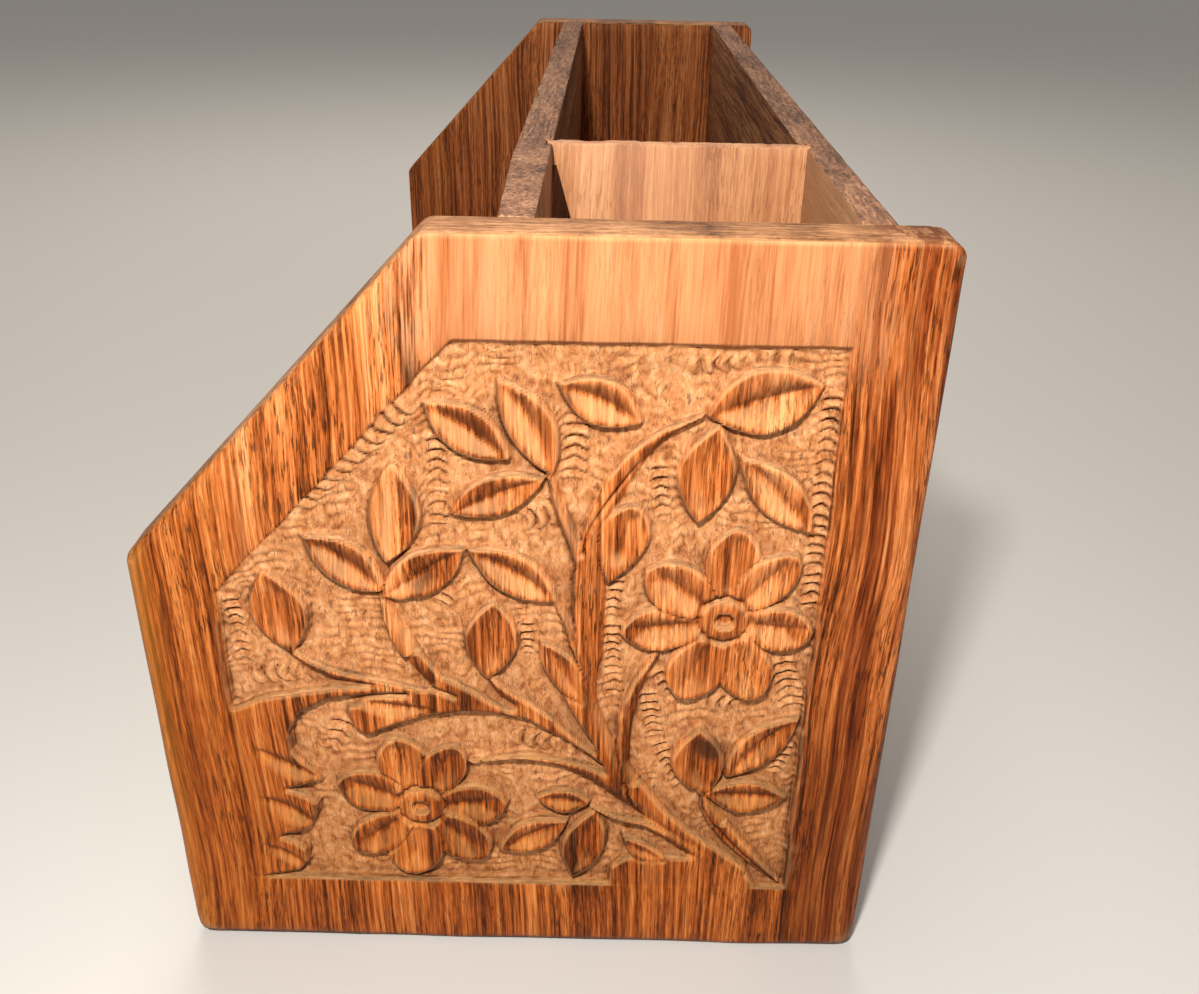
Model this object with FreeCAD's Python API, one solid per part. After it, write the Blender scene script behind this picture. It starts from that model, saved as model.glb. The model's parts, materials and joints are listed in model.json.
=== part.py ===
"""Carved wooden puzzle box, open on top, with a hidden drawer.

Two identical five-sided end panels carry everything. Between them run a tall back wall and a tall
inner wall, which make a deep trough split by a loose divider, and in front of them lie a low pen
tray and, under it, a drawer with no knob. A wooden bolt in a chamber under the near well locks the
drawer. The near stretch of the inner wall is a separate slat that slides up.

Frame: X across, Y along the box, Z up. The origin is at the middle of the footprint, on the table.
All lengths are in millimetres.
"""
import FreeCAD, Part
import math
import os

Vector = FreeCAD.Vector

# Overall size
PANEL_WIDTH = 102.0
PANEL_HEIGHT = 111.5
PANEL_THICKNESS = 8.0
BOX_LENGTH = 239.5
CHAMFER_WIDTH = 40.5
CHAMFER_HEIGHT = 43.5
PANEL_EDGE_RADIUS = 1.6
PANEL_CORNER_RADIUS = 2.5

# Carving on the end panels
FIELD_DEPTH = 1.5
FIELD_CORNERS = [(-41.0, 12.7), (39.0, 12.7), (39.3, 98.5), (-7.5, 98.5), (-39.8, 63.2), (-39.4, 44.0)]

# Boards
WALL_THICKNESS = 5.5
BASE_THICKNESS = 5.5
DECK_THICKNESS = 4.5
DECK_UNDERSIDE = 36.0
FRONT_FACE_X = -47.5
INNER_WALL_X = -3.5
BACK_WALL_X = 39.3
TRAY_LIP_THICKNESS = 5.0
TRAY_LIP_HEIGHT = 8.5
BOARD_EDGE_RADIUS = 0.6

# Divider and key slat
DIVIDER_FACE_Y = -67.7
DIVIDER_THICKNESS = 3.0
GROOVE_CLEARANCE = 0.2
DIVIDER_GROOVE_DEPTH = 2.2
WELL_REBATE = 1.0
HORN_LENGTH = 0.9
HORN_HEIGHT = 3.2
SLAT_GAP = 0.3
SLAT_NEAR_THICKNESS = 4.5
SLAT_TAPER_LENGTH = 33.5
GUIDE_WIDTH = 2.0
GUIDE_STAND_OUT = 2.0
GUIDE_TOP = 100.0

# Drawer
RUNNING_GAP = 0.3
DRAWER_END_GAP = 0.5
DRAWER_BOARD = 4.5
DRAWER_BOTTOM_THICKNESS = 3.0
RUNNER_HEIGHT = 1.0
RUNNER_WIDTH = 7.0
STOP_THICKNESS = 3.0
STOP_WIDTH = 4.0
CLEAT_WIDTH = 4.0
CLEAT_HEIGHT = 6.0
PARTITION_Y = -62.0
PARTITION_THICKNESS = 4.0
DRAWER_BACK_X = 32.0

# Lock bolt
BOLT_SIZE = 6.0
BOLT_X = 24.0
BOLT_NEAR_Y = -104.0
BOLT_FAR_Y = -60.5
BOLT_TRAVEL = 9.0
PEG_RADIUS = 2.0
PEG_Y = -84.0
PEG_STAND_OUT = 4.0
PEG_DEPTH = 4.7
BOLT_GUIDE_WIDTH = 18.0
BOLT_GUIDE_FLOOR = 3.7
BOLT_GUIDE_LENGTH = 6.0
BOLT_GUIDE_NEAR_Y = -100.0
BOLT_GUIDE_FAR_Y = -70.0

# Dowels
DOWEL_RADIUS = 1.25
DOWEL_IN_PANEL = 5.0
DOWEL_IN_BOARD = 8.0

# Derived places
HALF_WIDTH = PANEL_WIDTH / 2
HALF_LENGTH = BOX_LENGTH / 2
INNER_END = HALF_LENGTH - PANEL_THICKNESS
DECK_TOP = DECK_UNDERSIDE + DECK_THICKNESS
INNER_WALL_FACE = INNER_WALL_X + WALL_THICKNESS
BACK_WALL_OUTSIDE = BACK_WALL_X + WALL_THICKNESS
DIVIDER_BACK_Y = DIVIDER_FACE_Y + DIVIDER_THICKNESS
DRAWER_FRONT_BACK_X = FRONT_FACE_X + WALL_THICKNESS
DRAWER_FLOOR_Z = BASE_THICKNESS + RUNNER_HEIGHT + RUNNING_GAP
DRAWER_SIDE_TOP = DECK_UNDERSIDE - STOP_THICKNESS - RUNNING_GAP
DRAWER_TALL_TOP = DECK_UNDERSIDE - RUNNING_GAP - 0.1
DRAWER_NEAR_Y = PARTITION_Y + PARTITION_THICKNESS + 0.7
DRAWER_FAR_Y = INNER_END - CLEAT_WIDTH - 0.45
BOLT_BOTTOM = DECK_UNDERSIDE - RUNNING_GAP - BOLT_SIZE

# Ornament, as seen on the near panel: X to the right, Z up.
# A leaf is two arcs between its tips: (tip, tip, bulge to the left of the way, bulge to the right).
LEAVES = [
    ((-11.3, 90.7), (-0.8, 83.2), 3.5, 3.2),
    ((-2.2, 94.2), (4.4, 81.0), 3.9, 2.4),
    ((-8.7, 75.5), (3.5, 80.8), 3.0, 2.8),
    ((5.0, 93.5), (15.3, 88.4), 3.6, 3.0),
    ((23.0, 89.6), (36.8, 94.0), 4.4, 4.6),
    ((24.6, 88.6), (22.6, 74.6), 3.4, 3.8),
    ((27.5, 84.3), (37.4, 73.6), 3.2, 2.9),
    ((-15.4, 82.8), (-17.2, 67.8), 4.2, 2.6),
    ((-27.7, 72.0), (-17.4, 63.6), 3.6, 3.2),
    ((-18.2, 62.7), (-6.8, 70.6), 3.2, 3.3),
    ((-6.5, 70.4), (5.2, 62.6), 3.5, 3.0),
    ((-3.3, 62.8), (-4.5, 49.8), 3.7, 3.6),
    ((-33.2, 66.8), (-30.6, 53.6), 4.0, 3.8),
    ((2.8, 56.6), (8.6, 46.0), 2.6, 2.2),
    ((-3.8, 18.6), (6.6, 24.8), 3.0, 3.0),
    ((10.6, 27.2), (7.2, 13.2), 3.2, 3.2),
    ((1.8, 29.2), (10.0, 28.4), 2.2, 2.6),
    ((38.6, 44.6), (28.8, 33.4), 2.6, 3.4),
    ((24.8, 42.4), (26.2, 29.8), 3.2, 4.4),
    ((26.0, 30.6), (38.2, 30.2), 2.8, 3.6),
    ((-38.5, 37.6), (-27.6, 31.4), 1.6, 2.6),
    ((-38.5, 28.4), (-29.6, 22.4), 2.8, 2.4),
    ((-39.4, 19.4), (-31.4, 13.6), 1.8, 1.0),
    ((14.6, 22.0), (21.4, 17.4), 1.0, 2.4),
]

# A bud is a petal that grows out of a stem: (base, direction in degrees, length, half width).
BUDS = [((11.4, 65.4), 74.0, 12.6, 3.3)]

# A flower is (centre, disc radius, petals); a petal is (direction in degrees, length, half width).
FLOWERS = [
    ((27.0, 60.3), 3.2, [
        (86, 14.2, 3.6), (49, 13.6, 3.3), (-10, 12.2, 3.7), (-68, 14.0, 3.9),
        (-112, 14.2, 4.0), (190, 13.8, 3.7), (143, 13.0, 4.0),
    ]),
    ((-14.8, 26.8), 3.2, [
        (104, 13.2, 4.0), (64, 13.0, 3.4), (4, 12.6, 4.1), (-46, 13.6, 3.9),
        (-99, 13.6, 4.4), (-140, 13.6, 3.6), (158, 12.8, 3.9),
    ]),
]

# A stem is its centre line and its width at each point.
STEMS = [
    [(22.5, 89.6, 0.8), (17.4, 86.6, 1.9), (13.2, 81.6, 2.6), (10.6, 75.0, 3.4), (9.4, 68.0, 4.4),
     (9.2, 61.5, 4.2), (9.4, 55.0, 3.6), (9.0, 48.0, 2.6), (10.8, 41.0, 2.8), (13.6, 34.6, 3.6),
     (16.6, 29.6, 4.2), (20.6, 24.8, 3.6), (25.4, 20.6, 3.4), (31.5, 15.6, 3.6)],
    [(18.6, 55.0, 0.6), (16.2, 50.0, 1.8), (14.6, 44.0, 2.2), (14.3, 38.0, 1.8), (15.0, 33.0, 1.6),
     (16.6, 28.4, 1.4)],
    [(26.0, 30.8, 0.8), (28.0, 25.6, 2.8), (32.0, 20.0, 3.0), (37.8, 13.8, 1.4)],
    [(-31.4, 54.2, 1.2), (-27.0, 50.8, 2.2), (-22.0, 49.4, 1.8), (-15.0, 47.8, 1.6)],
    [(-17.8, 63.2, 1.0), (-16.4, 57.4, 2.6), (-13.2, 51.8, 2.8), (-9.4, 47.6, 2.4), (-3.4, 45.0, 1.4)],
    [(-4.4, 50.4, 0.6), (-2.0, 47.4, 2.2), (3.8, 43.2, 1.8)],
    [(5.4, 51.4, 2.8), (7.2, 48.2, 3.4), (9.0, 43.4, 2.6), (11.6, 38.2, 1.6)],
    [(4.6, 63.2, 0.6), (6.8, 58.4, 1.8), (8.6, 53.0, 1.8)],
    [(4.0, 81.4, 0.6), (5.6, 76.0, 1.6), (7.8, 70.0, 2.0), (8.8, 63.8, 1.8)],
    [(-7.4, 35.2, 0.5), (-1.0, 36.2, 1.4), (3.4, 35.8, 1.9), (7.6, 34.6, 2.6), (11.2, 32.6, 3.0),
     (15.6, 29.0, 3.0)],
    [(10.0, 27.4, 0.8), (13.6, 25.3, 1.6), (17.6, 24.2, 1.8), (22.4, 21.2, 2.4), (27.2, 17.4, 3.0)],
]

# A patch is a stretch of the border's level that was left standing in the field, by its outline.
PATCHES = [
    [(-43.0, 44.6), (-39.4, 44.3), (-36.0, 46.1), (-31.0, 47.3), (-26.0, 48.2), (-21.2, 48.5),
     (-18.0, 48.9), (-15.5, 48.4), (-12.8, 48.1), (-11.4, 50.8), (-9.0, 49.8), (-6.5, 48.2), (-3.8, 46.2),
     (-1.2, 44.6), (0.2, 47.4), (2.8, 45.3), (5.0, 42.9), (7.2, 40.5), (9.4, 38.3), (12.0, 36.5),
     (13.2, 33.9), (9.3, 37.3), (5.7, 40.0), (1.0, 42.8), (-4.0, 43.9), (-9.0, 43.9), (-13.5, 43.0),
     (-17.0, 41.7), (-20.6, 40.2), (-22.0, 39.7), (-23.4, 41.0), (-24.1, 43.0), (-23.9, 45.0),
     (-20.0, 46.6), (-15.6, 47.1), (-20.0, 47.1), (-24.0, 46.5), (-26.5, 45.9), (-29.0, 44.6),
     (-31.0, 43.0), (-32.3, 40.0), (-32.4, 37.0), (-31.2, 34.9), (-29.6, 33.0), (-28.6, 31.2),
     (-31.5, 30.4), (-34.0, 29.7), (-31.2, 28.6), (-29.6, 27.4), (-29.8, 25.0), (-31.0, 22.6),
     (-33.0, 21.3), (-36.0, 20.6), (-33.6, 19.6), (-32.3, 18.2), (-32.2, 15.6), (-33.6, 13.6),
     (-37.0, 12.9), (-43.0, 11.6)],
    [(12.6, 11.6), (12.9, 16.0), (14.5, 17.8), (16.5, 18.7), (19.0, 18.9), (21.5, 18.4), (24.6, 18.4),
     (26.4, 19.0), (30.5, 17.0), (34.0, 14.4), (35.5, 11.6)],
]


def box(x0, x1, y0, y1, z0, z1):
    """A block between the given limits."""
    return Part.makeBox(x1 - x0, y1 - y0, z1 - z0, Vector(x0, y0, z0))


def eased_box(x0, x1, y0, y1, z0, z1, along, radius=BOARD_EDGE_RADIUS):
    """A board with its four edges along X, Y or Z lightly rounded."""
    board = box(x0, x1, y0, y1, z0, z1)
    picked = []
    for edge in board.Edges:
        run = edge.Vertexes[1].Point - edge.Vertexes[0].Point
        if abs(getattr(run, along)) > 0.5 * run.Length:
            picked.append(edge)
    return board.makeFillet(radius, picked)


def prism(corners, y0, y1):
    """An outline in X and Z, extruded from y0 to y1."""
    points = [Vector(x, y0, z) for x, z in corners]
    face = Part.Face(Part.makePolygon(points + points[:1]))
    return face.extrude(Vector(0, y1 - y0, 0))


def dowel(place, way, clear=0.0):
    """A round peg across a joint: place is on the joint, way points into the board."""
    start = place - way * DOWEL_IN_PANEL
    return Part.makeCylinder(DOWEL_RADIUS + clear, DOWEL_IN_PANEL + DOWEL_IN_BOARD, start, way)


def dowel_set():
    """Every dowel: through both ends of the long boards, and one up from the deck into the wall."""
    back_x = BACK_WALL_X + WALL_THICKNESS / 2
    inner_x = INNER_WALL_X + WALL_THICKNESS / 2
    base_z = BASE_THICKNESS / 2
    deck_z = DECK_UNDERSIDE + DECK_THICKNESS / 2
    both_ends = [(back_x, 30), (back_x, 90), (-30, base_z), (30, base_z), (-25, deck_z), (18, deck_z)]
    far_end = [(inner_x, 60), (inner_x, 95)]
    pegs = []
    for x, z in both_ends:
        pegs.append(dowel(Vector(x, -INNER_END, z), Vector(0, 1, 0)))
        pegs.append(dowel(Vector(x, INNER_END, z), Vector(0, -1, 0)))
    for x, z in far_end:
        pegs.append(dowel(Vector(x, INNER_END, z), Vector(0, -1, 0)))
    upright_start = Vector(inner_x, DIVIDER_BACK_Y + 8, DECK_TOP - 3)
    pegs.append(Part.makeCylinder(DOWEL_RADIUS, 11, upright_start, Vector(0, 0, 1)))
    return pegs


def drilled(board, pegs):
    """The board with a hole for each dowel that enters it."""
    return board.cut(Part.makeCompound(pegs))


def outline_face(corners):
    """A flat face at y = 0 inside straight lines from corner to corner."""
    points = [Vector(x, 0, z) for x, z in corners]
    return Part.Face(Part.makePolygon(points + points[:1]))


def leaf_face(start, end, left, right):
    """A flat leaf at y = 0 between two tips, bounded by two arcs."""
    first = Vector(start[0], 0, start[1])
    last = Vector(end[0], 0, end[1])
    way = (last - first).normalize()
    side = Vector(-way.z, 0, way.x)
    middle = (first + last) * 0.5
    out = Part.Arc(first, middle + side * left, last).toShape()
    home = Part.Arc(last, middle - side * right, first).toShape()
    return Part.Face(Part.Wire([out, home]))


def petal_face(centre, angle, length, half_width):
    """A flat petal at y = 0: narrow at the flower's middle and broad near its tip."""
    way = Vector(math.cos(math.radians(angle)), 0, math.sin(math.radians(angle)))
    side = Vector(-way.z, 0, way.x)
    middle = Vector(centre[0], 0, centre[1])
    outline = [(0.08, 0.10), (0.45, 0.72), (0.74, 1.0), (1.0, 0.16)]
    points = [middle + way * (length * along) + side * (half_width * out) for along, out in outline]
    points += [middle + way * (length * along) - side * (half_width * out) for along, out in outline[::-1]]
    curve = Part.BSplineCurve()
    curve.interpolate(points, True)
    return Part.Face(Part.Wire([curve.toShape()]))


def stem_face(points):
    """A flat ribbon at y = 0 along a centre line, with the stated width at each point."""
    left = []
    right = []
    for i, (x, z, width) in enumerate(points):
        before = points[max(i - 1, 0)]
        after = points[min(i + 1, len(points) - 1)]
        way = Vector(after[0] - before[0], 0, after[1] - before[1]).normalize()
        side = Vector(-way.z, 0, way.x) * (width / 2)
        left.append(Vector(x, 0, z) + side)
        right.append(Vector(x, 0, z) - side)
    out = Part.BSplineCurve()
    out.interpolate(left)
    home = Part.BSplineCurve()
    home.interpolate(right[::-1])
    ends = [Part.makeLine(left[-1], right[-1]), Part.makeLine(right[0], left[0])]
    return Part.Face(Part.Wire([out.toShape(), ends[0], home.toShape(), ends[1]]))


def carved_ground():
    """The sunk ground of the carving: the field less every leaf, petal, disc and stem."""
    ornament = [leaf_face(*leaf) for leaf in LEAVES]
    for centre, disc_radius, petals in FLOWERS:
        for petal in petals:
            ornament.append(petal_face(centre, *petal))
        ring = Part.Circle(Vector(centre[0], 0, centre[1]), Vector(0, 1, 0), disc_radius)
        ornament.append(Part.Face(Part.Wire([ring.toShape()])))
    ornament += [petal_face(*bud) for bud in BUDS]
    ornament += [stem_face(stem) for stem in STEMS]
    ornament += [outline_face(patch) for patch in PATCHES]
    ground = outline_face(FIELD_CORNERS)
    for piece in ornament:
        raised = piece.extrude(Vector(0, 1, 0))
        raised.translate(Vector(0, -0.5, 0))
        ground = ground.cut(raised)
    return ground


def panel_outline():
    """The five corners of an end panel."""
    left = -HALF_WIDTH
    return [
        (left, 0),
        (HALF_WIDTH, 0),
        (HALF_WIDTH, PANEL_HEIGHT),
        (left + CHAMFER_WIDTH, PANEL_HEIGHT),
        (left, PANEL_HEIGHT - CHAMFER_HEIGHT),
    ]


def end_panel(pegs):
    """The near end panel, carved on its outside."""
    panel = prism(panel_outline(), -HALF_LENGTH, -INNER_END)
    corners = [e for e in panel.Edges if abs(e.Vertexes[0].Y - e.Vertexes[1].Y) > 1]
    panel = panel.makeFillet(PANEL_CORNER_RADIUS, corners)
    rims = [e for e in panel.Edges if max(v.Y for v in e.Vertexes) - min(v.Y for v in e.Vertexes) < 0.01]
    panel = panel.makeFillet(PANEL_EDGE_RADIUS, rims)
    ground = carved_ground()
    for face in ground.Faces:
        if face.Area > 0.4:
            sunk = face.extrude(Vector(0, FIELD_DEPTH + 1, 0))
            sunk.translate(Vector(0, -HALF_LENGTH - 1, 0))
            panel = panel.cut(sunk)
    return drilled(panel, pegs)


def back_wall(pegs):
    """The tall wall at the back, with the divider's groove and a rebate beside the near well."""
    wall = eased_box(BACK_WALL_X, BACK_WALL_OUTSIDE, -INNER_END, INNER_END,
                     BASE_THICKNESS, PANEL_HEIGHT, "y")
    rebate = box(BACK_WALL_X - 1, BACK_WALL_X + WELL_REBATE, -INNER_END - 1, DIVIDER_FACE_Y,
                 DECK_TOP, PANEL_HEIGHT + 1)
    groove = box(BACK_WALL_X - 1, BACK_WALL_X + DIVIDER_GROOVE_DEPTH,
                 DIVIDER_FACE_Y - GROOVE_CLEARANCE, DIVIDER_BACK_Y + GROOVE_CLEARANCE,
                 DECK_TOP, PANEL_HEIGHT + 1)
    return drilled(wall.cut(rebate).cut(groove), pegs)


def inner_wall(pegs):
    """The fixed stretch of the inner wall, with a notch in its top for the divider's horn."""
    wall = eased_box(INNER_WALL_X, INNER_WALL_FACE, DIVIDER_FACE_Y, INNER_END,
                     DECK_TOP, PANEL_HEIGHT, "y")
    notch = box(INNER_WALL_FACE - HORN_LENGTH - GROOVE_CLEARANCE, INNER_WALL_FACE + 1,
                DIVIDER_FACE_Y - 1, DIVIDER_BACK_Y + GROOVE_CLEARANCE,
                PANEL_HEIGHT - HORN_HEIGHT - GROOVE_CLEARANCE, PANEL_HEIGHT + 1)
    return drilled(wall.cut(notch), pegs)


def divider():
    """The loose board across the trough: a horn at its top left, and a left edge that slants away."""
    left = INNER_WALL_FACE
    right = BACK_WALL_X + DIVIDER_GROOVE_DEPTH - SLAT_GAP
    horn_foot = PANEL_HEIGHT - HORN_HEIGHT
    outline = [
        (left - HORN_LENGTH, PANEL_HEIGHT),
        (left - HORN_LENGTH, horn_foot),
        (left + 0.25, horn_foot),
        (left + 3.2, 98.0),
        (left + 3.2, DECK_TOP),
        (right, DECK_TOP),
        (right, PANEL_HEIGHT),
    ]
    return prism(outline, DIVIDER_FACE_Y, DIVIDER_BACK_Y)


def guide_x():
    """Both sides of the strips that guide the key slat."""
    middle = INNER_WALL_FACE - SLAT_NEAR_THICKNESS / 2
    return middle - GUIDE_WIDTH / 2, middle + GUIDE_WIDTH / 2


def slat_guide(y, way):
    """An upright strip that stands out of y by GUIDE_STAND_OUT, towards way."""
    x0, x1 = guide_x()
    y0, y1 = sorted([y, y + way * GUIDE_STAND_OUT])
    return box(x0, x1, y0, y1, DECK_TOP, GUIDE_TOP)


def key_slat():
    """The near stretch of the inner wall, thinner at its near end and grooved for its guides."""
    near = -INNER_END + SLAT_GAP
    far = DIVIDER_FACE_Y - SLAT_GAP
    thin_x = INNER_WALL_FACE - SLAT_NEAR_THICKNESS
    plan = [
        (thin_x, near),
        (INNER_WALL_FACE, near),
        (INNER_WALL_FACE, far),
        (INNER_WALL_X, far),
        (INNER_WALL_X, near + SLAT_TAPER_LENGTH),
    ]
    points = [Vector(x, y, DECK_TOP) for x, y in plan]
    slat = Part.Face(Part.makePolygon(points + points[:1])).extrude(Vector(0, 0, PANEL_HEIGHT - DECK_TOP))
    x0, x1 = guide_x()
    reach = GUIDE_STAND_OUT + SLAT_GAP
    for y0, y1 in [(near - 1, -INNER_END + reach), (DIVIDER_FACE_Y - reach, far + 1)]:
        slat = slat.cut(box(x0 - SLAT_GAP, x1 + SLAT_GAP, y0, y1, DECK_TOP - 1, GUIDE_TOP + SLAT_GAP))
    return slat


def deck_board(pegs):
    """The floor of the tray and of the trough, with a slot for the bolt's peg."""
    deck = eased_box(FRONT_FACE_X, BACK_WALL_X, -INNER_END, INNER_END, DECK_UNDERSIDE, DECK_TOP, "y", 0.4)
    slot_radius = PEG_RADIUS + 0.4
    for y in [PEG_Y, PEG_Y + BOLT_TRAVEL]:
        end = Vector(BOLT_X, y, DECK_UNDERSIDE - 1)
        deck = deck.cut(Part.makeCylinder(slot_radius, DECK_THICKNESS + 2, end))
    deck = deck.cut(box(BOLT_X - slot_radius, BOLT_X + slot_radius, PEG_Y, PEG_Y + BOLT_TRAVEL,
                        DECK_UNDERSIDE - 1, DECK_TOP + 1))
    return drilled(deck, pegs)


def bay_partition():
    """The board between the bolt's chamber and the drawer, with a window for the bolt."""
    board = box(DRAWER_FRONT_BACK_X + 0.4, BACK_WALL_X, PARTITION_Y, PARTITION_Y + PARTITION_THICKNESS,
                BASE_THICKNESS, DECK_UNDERSIDE)
    half = BOLT_SIZE / 2 + RUNNING_GAP
    window = box(BOLT_X - half, BOLT_X + half, PARTITION_Y - 1, PARTITION_Y + PARTITION_THICKNESS + 1,
                 BOLT_BOTTOM - RUNNING_GAP, DECK_UNDERSIDE + 1)
    return board.cut(window)


def bolt_guide(y):
    """A block glued under the deck, with a channel for the bolt."""
    bottom = BOLT_BOTTOM - RUNNING_GAP - BOLT_GUIDE_FLOOR
    block = box(BOLT_X - BOLT_GUIDE_WIDTH / 2, BOLT_X + BOLT_GUIDE_WIDTH / 2,
                y, y + BOLT_GUIDE_LENGTH, bottom, DECK_UNDERSIDE)
    half = BOLT_SIZE / 2 + RUNNING_GAP
    channel = box(BOLT_X - half, BOLT_X + half, y - 1, y + BOLT_GUIDE_LENGTH + 1,
                  BOLT_BOTTOM - RUNNING_GAP, DECK_UNDERSIDE + 1)
    return block.cut(channel)


def bolt_peg():
    """The round peg in the bolt, which stands up through the deck's slot."""
    top = DECK_TOP + PEG_STAND_OUT
    bottom = BOLT_BOTTOM + BOLT_SIZE - PEG_DEPTH
    peg = Part.makeCylinder(PEG_RADIUS, top - bottom, Vector(BOLT_X, PEG_Y, bottom))
    rim = [e for e in peg.Edges if e.Vertexes[0].Z > top - 0.01 and e.Vertexes[-1].Z > top - 0.01]
    return peg.makeFillet(0.8, rim)


def lock_bolt():
    """The sliding bolt, drawn back from the drawer."""
    half = BOLT_SIZE / 2
    bolt = box(BOLT_X - half, BOLT_X + half, BOLT_NEAR_Y, BOLT_FAR_Y, BOLT_BOTTOM, BOLT_BOTTOM + BOLT_SIZE)
    seat = Part.makeCylinder(PEG_RADIUS, PEG_DEPTH + 1,
                             Vector(BOLT_X, PEG_Y, BOLT_BOTTOM + BOLT_SIZE - PEG_DEPTH))
    return bolt.cut(seat)


def drawer_side(y0):
    """One side of the drawer."""
    return box(DRAWER_FRONT_BACK_X, DRAWER_BACK_X, y0, y0 + DRAWER_BOARD, DRAWER_FLOOR_Z, DRAWER_SIDE_TOP)


def drawer_side_near():
    """The drawer's near side, notched in its top edge for the bolt."""
    half = BOLT_SIZE / 2 + RUNNING_GAP
    notch = box(BOLT_X - half, BOLT_X + half, DRAWER_NEAR_Y - 1, DRAWER_NEAR_Y + DRAWER_BOARD + 1,
                BOLT_BOTTOM - RUNNING_GAP, DECK_UNDERSIDE)
    return drawer_side(DRAWER_NEAR_Y).cut(notch)


def runner(y0):
    """A strip on the base that the drawer slides on and closes against."""
    return box(DRAWER_FRONT_BACK_X + 0.2, DRAWER_BACK_X + 5, y0, y0 + RUNNER_WIDTH,
               BASE_THICKNESS, BASE_THICKNESS + RUNNER_HEIGHT)


def cleat(y0):
    """A strip on an end panel that carries the end of the deck."""
    return box(DRAWER_FRONT_BACK_X + 1, BACK_WALL_X, y0, y0 + CLEAT_WIDTH,
               DECK_UNDERSIDE - CLEAT_HEIGHT, DECK_UNDERSIDE)


def make_nodes():
    """Every piece, by name."""
    pegs = dowel_set()
    near_panel = end_panel(pegs)
    far_panel = drilled(end_panel([]).mirror(Vector(0, 0, 0), Vector(0, 1, 0)), pegs)
    inside_y = DRAWER_NEAR_Y + DRAWER_BOARD
    far_inside_y = DRAWER_FAR_Y - DRAWER_BOARD
    front_end = INNER_END - DRAWER_END_GAP
    return {
        "end_panel_near": near_panel,
        "end_panel_far": far_panel,
        "back_wall": back_wall(pegs),
        "inner_wall": inner_wall(pegs),
        "base_board": drilled(box(FRONT_FACE_X, BACK_WALL_OUTSIDE, -INNER_END, INNER_END,
                                  0, BASE_THICKNESS), pegs),
        "deck_board": deck_board(pegs),
        "tray_lip": eased_box(FRONT_FACE_X, FRONT_FACE_X + TRAY_LIP_THICKNESS, -INNER_END, INNER_END,
                              DECK_TOP, DECK_TOP + TRAY_LIP_HEIGHT, "y", 1.2),
        "divider": divider(),
        "key_slat": key_slat(),
        "slat_guide_near": slat_guide(-INNER_END, 1),
        "slat_guide_far": slat_guide(DIVIDER_FACE_Y, -1),
        "deck_cleat_near": cleat(-INNER_END),
        "deck_cleat_far": cleat(INNER_END - CLEAT_WIDTH),
        "bay_partition": bay_partition(),
        "bolt_guide_near": bolt_guide(BOLT_GUIDE_NEAR_Y),
        "bolt_guide_far": bolt_guide(BOLT_GUIDE_FAR_Y),
        "lock_bolt": lock_bolt(),
        "bolt_peg": bolt_peg(),
        "drawer_front": eased_box(FRONT_FACE_X, DRAWER_FRONT_BACK_X, -front_end, front_end,
                                  BASE_THICKNESS + RUNNING_GAP + 0.1, DRAWER_TALL_TOP, "y", 0.5),
        "drawer_side_near": drawer_side_near(),
        "drawer_side_far": drawer_side(far_inside_y),
        "drawer_back": box(DRAWER_BACK_X, DRAWER_BACK_X + DRAWER_BOARD, DRAWER_NEAR_Y, DRAWER_FAR_Y,
                           DRAWER_FLOOR_Z, DRAWER_TALL_TOP),
        "drawer_bottom": box(DRAWER_FRONT_BACK_X, DRAWER_BACK_X, inside_y, far_inside_y,
                             DRAWER_FLOOR_Z, DRAWER_FLOOR_Z + DRAWER_BOTTOM_THICKNESS),
        "drawer_runner_near": runner(DRAWER_NEAR_Y),
        "drawer_runner_far": runner(DRAWER_FAR_Y - RUNNER_WIDTH),
        "drawer_stop": box(DRAWER_FRONT_BACK_X + 0.8, DRAWER_FRONT_BACK_X + 0.8 + STOP_WIDTH,
                           inside_y, far_inside_y, DECK_UNDERSIDE - STOP_THICKNESS, DECK_UNDERSIDE),
        "panel_dowels": Part.makeCompound(pegs),
    }


os.makedirs("parts", exist_ok=True)
for name, shape in make_nodes().items():
    shape.exportStep("parts/" + name + ".step")
    print(name, len(shape.Solids), shape.isValid(), round(shape.Volume / 1000, 2), "cm3")
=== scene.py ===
"""Looks for the carved wooden puzzle box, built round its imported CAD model.

The two carved end panels, the walls, the divider, the key slat and the other boards that show are
modelled here in detail, each inside the space of its CAD node. The other pieces keep their CAD shape.
Sizes below are in millimetres, in the box's own frame: X across, Y along, Z up.
"""
import json
import math

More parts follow.
